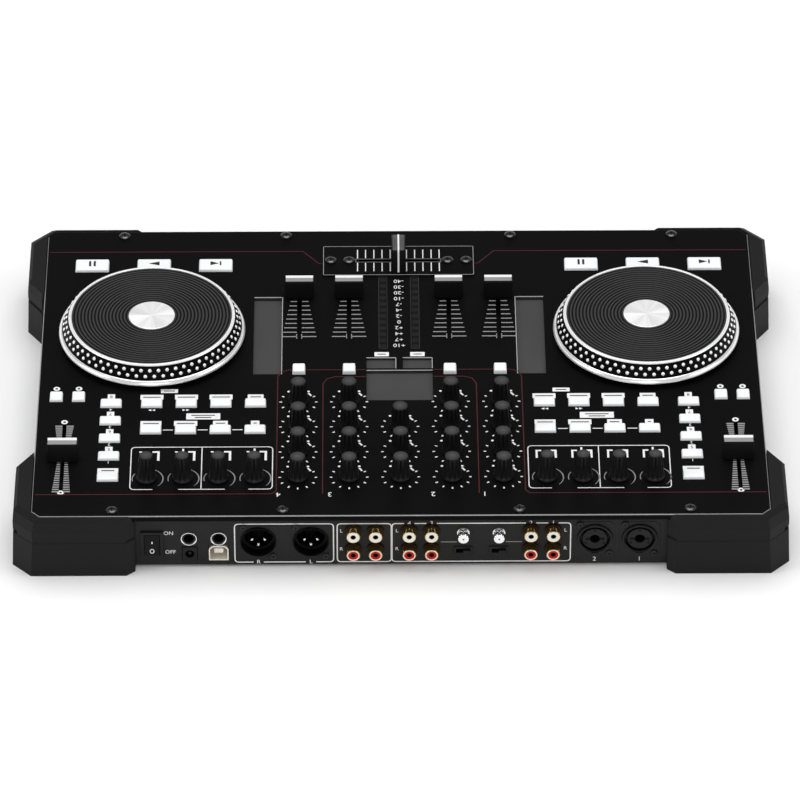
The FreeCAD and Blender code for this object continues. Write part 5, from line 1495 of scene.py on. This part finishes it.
def jack_barrel(radius, bore, depth):
    """Body of a jack behind its nut, with a blind bore."""
    return hoop([(bore, 0.9), (bore, 1.4 - depth), (0.2, 1.4 - depth), (0.2, -0.1 - depth),
                 (radius, -0.1 - depth), (radius, -1.5), (radius - 1.2, -1.5),
                 (radius - 1.2, 0.9)], 40)


class MIXER_OT_connectors(bpy.types.Operator):
    """Make the rear and front connectors: jacks, outputs, inputs, posts, sockets and switches"""
    bl_idname = "mixer.connectors"
    bl_label = "Connectors"

    def execute(self, context):
        colours = context.scene.mixer_colours
        black = black_plastic(colours)
        plating = chrome(colours)
        self.rca(colours)
        self.round_sockets(colours, black, plating)
        self.jacks(black, plating)
        self.posts(plating)
        dress_node("switch_frames", black)
        self.rocker_marks(colours)
        dress_node("power_rocker", finish(
            "rocker_plastic", colours.rocker, 0.3, specular=0.12, spread=0.3))
        for channel in (3, 4):
            dress_node(f"channel_{channel}_level_slider", black)
        dress_node("dc_and_usb_sockets", inlet_and_shell(colours))
        return {"FINISHED"}

    def rca(self, colours):
        """Gold shells on a wall flange painted dark as gold in shade, white cores above and red
        cores below.
        """
        gold = finish("gold_shell", colours.gold, 0.2, metallic=1.0, spread=0.08, bump=0.03)
        # Painted shade: the gold flange is coloured a dark brown-gold to stand for gold in shade.
        shaded_gold = finish("flange_gold_in_shade", (0.022, 0.016, 0.009), 0.35, metallic=1.0, spread=0.2,
                        bump=0.03)
        white = finish("white_core", colours.white_core, 0.4, spread=0.05, bump=0.03)
        red = finish("red_core", colours.red_core, 0.45, specular=0.15, spread=0.12, bump=0.03)
        # Rims: gold plating made pale; the paleness is painted highlight.
        rim_highlight = finish("rim_gold_highlight", (0.90, 0.80, 0.58), 0.3, metallic=0.4, spread=0.06, bump=0.03)
        shell = hoop([(3.5, -8.0), (4.15, -8.0), (4.15, 6.7), (4.0, 6.9), (3.8, 6.9),
                      (3.65, 6.7)], 40)
        flange = hoop([(4.1, 0.0), (5.3, 0.0), (5.4, 0.3), (5.3, 1.2), (4.3, 1.3), (4.1, 1.3)], 40)
        core = hoop([(1.7, -8.0), (3.6, -8.0), (3.6, 6.5), (3.4, 6.7), (1.9, 6.7), (1.7, 6.5)], 32)
        rim = hoop([(3.2, 6.65), (4.1, 6.65), (4.1, 6.8), (3.95, 6.9), (3.35, 6.9),
                    (3.2, 6.8)], 40)
        socket = hoop([(1.3, -7.0), (1.7, -7.0), (1.7, 6.45), (1.3, 6.45)], 20)
        upper, lower = wall_places(RCA_X, RCA_TOP), wall_places(RCA_X, RCA_LOW)
        piece("rca_shells", on_rear(repeated(shell, upper + lower)), gold, "gold_plate",
              stands_for=("rca_jacks",))
        rows = (("flanges", flange, upper + lower, shaded_gold), ("white_cores", core, upper, white),
                ("red_cores", core, lower, red), ("rims", rim, upper + lower, rim_highlight),
                ("contacts", socket, upper + lower, contact_shade()))
        for name, solid, places, material in rows:
            piece(f"rca_{name}", on_rear(repeated(solid, places)), material, "gold_plate")

    def round_sockets(self, colours, black, plating):
        """Three-pin outputs and combined inputs on the same flange, coated as the wall."""
        xlr, combo = wall_places(XLR_X, XLR_DROP), wall_places(COMBO_X, COMBO_DROP)
        coat = bpy.data.materials["tray_coat"]
        deep = finish("cup_plastic", (0.0022, 0.0022, 0.0022), 0.4, specular=0.08, spread=0.3)
        piece("round_flanges", on_rear(repeated(round_flange(), xlr + combo)), coat,
              "black_plastic")
        cup = hoop([(10.4, 1.3), (10.4, -5.0), (8.8, -5.4), (8.8, -13.3), (0.3, -13.3),
                    (0.3, -16.4), (11.2, -16.4), (11.2, 1.3), (10.95, 1.6), (10.65, 1.6)], 64)
        key = prism(softened(box_outline(1.6, 0.9, 0, 9.2), 0.3, 3), -12.0, -5.0)
        piece("xlr_cups", on_rear(repeated(joined([cup, key]), xlr)), deep, "black_plastic",
              stands_for=("xlr_outputs",))
        pin = turned([(1.2, -13.4), (1.2, -2.4), (1.0, -1.8), (0.6, -1.4)], 20)
        pins = np.array(xlr)[:, None] + np.array([(-4.0, 0.0), (4.0, 0.0), (0.0, -4.0)])
        piece("xlr_pins", on_rear(repeated(pin, pins.reshape(-1, 2))), plating, "socket_metal")
        self.combos(colours, combo, black)

    def combos(self, colours, combo, black):
        """Combined inputs: an outer rim, a dark channel and a face with a bore and contacts."""
        paler = finish("combo_plastic", colours.combo, 0.28, specular=0.22, spread=0.2, bump=0.05)
        rim = hoop([(9.3, 1.2), (9.3, -3.0), (11.2, -3.0), (11.2, 0.8), (10.9, 1.5), (10.4, 1.8),
                    (9.9, 1.8)], 64)
        well = hoop([(6.5, -2.4), (6.5, -3.0), (3.2, -3.0), (3.2, -28.2), (0.3, -28.2),
                     (0.3, -30.2), (9.6, -30.2), (9.6, -3.0), (9.4, -2.4)], 64)
        face = hoop([(3.2, 0.7), (3.2, -3.0), (7.9, -3.0), (7.9, 0.4), (7.6, 0.8), (3.5, 0.8)], 64)
        latch = prism(softened(box_outline(2.0, 0.7, 0, -10.3), 0.3, 3), 1.0, 1.8)
        low, high = 0.7, 0.84
        contacts = [prism(circle_outline(0.8, 16) + middle, low, high)
                    for middle in 6.3 * rays(np.radians([90, 210, 330]))]
        slots = [prism(softened(box_outline(1.5, 0.9, x, 0), 0.4, 3), low, high)
                 for x in (-4.4, 4.4)]
        piece("combo_wells", on_rear(repeated(well, combo)), black, "black_plastic",
              stands_for=("combo_inputs",))
        piece("combo_faces", on_rear(repeated(joined([rim, face, latch]), combo)), paler,
              "black_plastic")
        piece("combo_contacts", on_rear(repeated(joined(contacts + slots), combo)),
              contact_shade(), "socket_metal")

    def jacks(self, black, plating):
        """Bright nuts round dark bores, two behind and two in front."""
        rear = wall_places(REMOTE_X, REMOTE_DROP)
        large, small = ([(x, -PHONES_DROP)] for x in PHONES_X)
        nut, barrel = jack_nut(5.2, 4.25), jack_barrel(5.4, 3.2, 26.0)
        nuts = [on_rear(repeated(nut, rear)), on_front(repeated(nut, large)),
                on_front(repeated(jack_nut(4.0, 2.7), small))]
        barrels = [on_rear(repeated(barrel, rear)), on_front(repeated(barrel, large)),
                   on_front(repeated(jack_barrel(4.2, 1.8, 15.0), small))]
        piece("jack_nuts", joined(nuts), plating, "socket_metal", stands_for=("jack_sockets",))
        piece("jack_barrels", joined(barrels), black, "black_plastic")

    def posts(self, plating):
        """Knurled ground posts: the positive half of a cosine in angle comes off the head."""
        pale = finish("post_end_plate", (0.90, 0.90, 0.90), 0.35, metallic=0.3, spread=0.05,
                      bump=0.03)
        profile = [(2.0, -6.0), (2.0, 0.0), (4.0, 0.0), (4.0, 0.8), (3.8, 1.0), (2.0, 1.05),
                   (2.0, 2.5), (3.3, 2.6), (3.6, 2.9), (3.6, 6.5), (3.3, 6.9), (2.6, 7.0),
                   (1.0, 7.0)]
        count = 84
        ripple = np.clip(np.cos(14 * angles(count)), 0, 1) * 0.35
        share = np.array([0, 0, 0, 0, 0, 0, 0, 0.5, 1, 1, 0.5, 0, 0])
        post = turned(profile, count, share[:, None] * ripple[None])
        end = hoop([(0.55, 6.9), (3.0, 6.9), (3.0, 7.1), (2.8, 7.2), (0.55, 7.2)], 32)
        hole = turned([(0.55, 6.9), (0.55, 7.15)], 24)
        places = wall_places(POST_X, POST_DROP)
        piece("ground_post_heads", on_rear(repeated(post, places)), plating, "socket_metal",
              stands_for=("ground_posts",))
        piece("ground_post_ends", on_rear(repeated(end, places)), pale, "socket_metal")
        piece("ground_post_holes", on_rear(repeated(hole, places)), contact_shade(),
              "socket_metal")

    def rocker_marks(self, colours):
        """The strokes for on and off.

        At rest the upper face is upright and the lower one leans out from the valley down.
        """
        upright, valley, low, high = 1.67, 0.45, -0.02, 0.06
        bar = prism(box_outline(0.35, 0.85, 0.0, 1.9), upright + low, upright + high)
        circle = hoop([(1.0, low), (1.45, low), (1.45, high), (1.0, high)], 24)
        points, faces = moved(circle, (0.0, -3.7, upright))
        points[:, 2] += math.tan(math.radians(ROCKER_LEAN)) * (valley - points[:, 1])
        marks = moved(joined([bar, (points, faces)]), (-ROCKER_X, -ROCKER_DROP, 0.0))
        piece("rocker_marks", on_rear(marks), inks(colours)[0], "black_plastic",
              "power_rocker_body")


class MIXER_OT_wall_print(bpy.types.Operator):
    """Print the group frames, figures and switch marks on the rear wall"""
    bl_idname = "mixer.wall_print"
    bl_label = "Rear wall print"

    def execute(self, context):
        colours, sizes = context.scene.mixer_colours, context.scene.mixer_sizes
        white, grey, _, _ = inks(colours)
        low, high = -0.02, sizes.print_height / MM
        marks = [("ON", 3.9, -143.7, -15.8), ("OFF", 3.9, -142.8, -30.6)]
        marks += [(figure, 4.5, -x, -37.4) for figure, x in zip("21", COMBO_X)]
        marks += [(letter, 4.2, -x, -38.7) for letter, x in zip("RL", reversed(XLR_X))]
        marks += [(figure, 4.5, -x, -8.7) for figure, x in zip("4321", RCA_X[2:])]
        marks += [(letter, 3.6, x, -drop) for letter, drop in (("L", RCA_TOP), ("R", RCA_LOW))
                  for x in (-37.0, -2.6, 101.6)]
        figures = [lettered(words, size, 0.05, (x, y, FIGURE_LIFT))
                   for words, size, x, y in marks]
        piece("wall_print", on_rear(joined(self.frames(low, high) + figures)), white, "tray_paint")
        links = bar_ends((24.6, 64.8), -23.4, (34.5, 74.7), -23.4)
        piece("wall_links", on_rear(strips(links, 0.5, low, high)), grey, "tray_paint")
        return {"FINISHED"}

    def frames(self, low, high):
        """Three soft-cornered frames whose upper and lower lines break for their figures."""
        top, bottom, corner, line, gap = -8.75, -38.75, 2.5, 0.7, 3.2
        frames = ((-102.9, -41.8, (), (-XLR_X[1], -XLR_X[0])), (-39.5, -6.1, (), ()),
                  (-5.6, 104.8, tuple(-x for x in RCA_X[2:]), ()))
        solids = []
        for left, right, upper, lower in frames:
            outline = box_outline((right - left) / 2, (top - bottom) / 2,
                                  (left + right) / 2, (top + bottom) / 2)
            corners = softened(outline, corner, 5).reshape(4, -1, 2)
            for first, second in ((3, 0), (1, 2)):
                end = np.vstack([corners[first], corners[second]])
                solids.append(ribbon(end, line, low, high))
            for y, breaks in ((top, upper), (bottom, lower)):
                stops = [x + sign * gap for x in breaks for sign in BOTH]
                stops = np.array([left + corner] + stops + [right - corner])
                solids.append(strips(bar_ends(stops[::2], y, stops[1::2], y), line, low, high))
        return solids


class MIXER_OT_stage(bpy.types.Operator):
    """Set the pale floor, the soft lights, the white surround and the camera"""
    bl_idname = "mixer.stage"
    bl_label = "Stage"

    def execute(self, context):
        self.floor(context)
        self.surround(context)
        self.lamps(context)
        self.camera(context)
        context.scene.view_settings.view_transform = "Standard"
        return {"FINISHED"}

    def floor(self, context):
        """Flat grid under the object, far wider than the view."""
        reach, steps = 6.0, 9
        side = np.linspace(-reach, reach, steps)
        points = raised(np.stack(np.meshgrid(side, side), axis=-1), 0.0).reshape(-1, 3)
        index = np.arange(steps * steps).reshape(steps, steps)
        quads = np.stack([index[:-1, :-1], index[:-1, 1:], index[1:, 1:], index[1:, :-1]], axis=-1)
        mesh = bpy.data.meshes.new("floor")
        mesh.from_pydata(points.tolist(), [], quads.reshape(-1, 4).tolist())
        mesh.materials.append(finish("floor_paper", (0.93, 0.93, 0.93), 0.7, specular=0.1,
                                     spread=0.01, grain=40.0, cloud=2.0, bump=0.0))
        floor = bpy.data.objects.new("floor", mesh)
        context.scene.collection.objects.link(floor)

    def surround(self, context):
        """White to the eye, plain light elsewhere; reflections are white low down and dim above."""
        world = bpy.data.worlds.new("surround")
        context.scene.world = world
        world.use_nodes = True
        tree = world.node_tree
        light = tree.nodes["Background"].inputs
        light["Color"].default_value = (1, 1, 1, 1)
        seen = add_node(tree, "ShaderNodeLightPath").outputs
        height = axes(tree, add_node(tree, "ShaderNodeTexCoord").outputs["Generated"])[2]
        plain, white, dim = 0.5, 1.0, 0.25
        above_plain = spread_value(tree, height, white - plain, dim - plain, 0.12, 0.5)
        mirrored = math_node(tree, "MULTIPLY_ADD", seen["Is Glossy Ray"], above_plain, plain)
        clear = math_node(tree, "MAXIMUM", seen["Is Camera Ray"], seen["Is Transmission Ray"])
        feed(tree, light["Strength"], math_node(tree, "MAXIMUM", clear, mirrored))

    def lamps(self, context):
        """Broad lamps overhead, on both sides and behind, all turned to the part."""
        lamps = (("overhead", (0.0, -0.5, 2.6), 2.0, 35.0),
                 ("left_side", (-2.4, 0.6, 1.5), 1.4, 18.0),
                 ("right_side", (2.4, 0.6, 1.5), 1.4, 18.0),
                 ("rear", (0.0, 2.8, 1.4), 1.6, 14.0))
        for name, place, size, power in lamps:
            lamp = bpy.data.lights.new(name, "AREA")
            lamp.size = size
            lamp.energy = power
            holder = bpy.data.objects.new(name, lamp)
            holder.location = place
            holder.rotation_euler = self.facing(place)
            context.scene.collection.objects.link(holder)

    def facing(self, place, target=(0.0, 0.0, 0.0)):
        """Turn that points -Z at a target with +Y up."""
        return (Vector(target) - Vector(place)).to_track_quat("-Z", "Y").to_euler()

    def camera(self, context):
        """Long lens behind the part, looking down on the rear wall."""
        lens = bpy.data.cameras.new("photo_view")
        lens.sensor_width = 36.0
        lens.lens = 285.07
        lens.clip_end = 50.0
        holder = bpy.data.objects.new("photo_view", lens)
        eye = (0.0211, 3.2094, 2.4645)
        ahead = (-0.0053, -0.7952, -0.6063)
        holder.location = eye
        holder.rotation_euler = self.facing(eye, [a + b for a, b in zip(eye, ahead)])
        context.scene.collection.objects.link(holder)
        context.scene.camera = holder


OPERATORS = (MIXER_OT_stage, MIXER_OT_case, MIXER_OT_bumpers, MIXER_OT_screws, MIXER_OT_knobs,
             MIXER_OT_faders, MIXER_OT_jogs, MIXER_OT_keys, MIXER_OT_panel_print,
             MIXER_OT_connectors, MIXER_OT_wall_print)


class MIXER_PT_dress(bpy.types.Panel):
    """Sidebar list of the mixer's pieces, sizes and colours"""
    bl_idname = "MIXER_PT_dress"
    bl_label = "Mixer"
    bl_space_type = "VIEW_3D"
    bl_region_type = "UI"
    bl_category = "Mixer"

    def draw(self, context):
        for operator in OPERATORS:
            self.layout.operator(operator.bl_idname)
        for group in (context.scene.mixer_sizes, context.scene.mixer_colours):
            for name in group.__annotations__:
                self.layout.prop(group, name)


CLASSES = (MixerSizes, MixerColours) + OPERATORS + (MIXER_PT_dress,)


def register():
    """Register the classes, and give every scene the sizes and colours."""
    for item in CLASSES:
        bpy.utils.register_class(item)
    bpy.types.Scene.mixer_sizes = bpy.props.PointerProperty(type=MixerSizes)
    bpy.types.Scene.mixer_colours = bpy.props.PointerProperty(type=MixerColours)


def unregister():
    """Undo what register did, in reverse order."""
    del bpy.types.Scene.mixer_colours
    del bpy.types.Scene.mixer_sizes
    for item in reversed(CLASSES):
        bpy.utils.unregister_class(item)


def main():
    """Run every operator in order."""
    register()
    for operator in OPERATORS:
        group, name = operator.bl_idname.split(".")
        getattr(getattr(bpy.ops, group), name)()


if __name__ == "__main__":
    main()
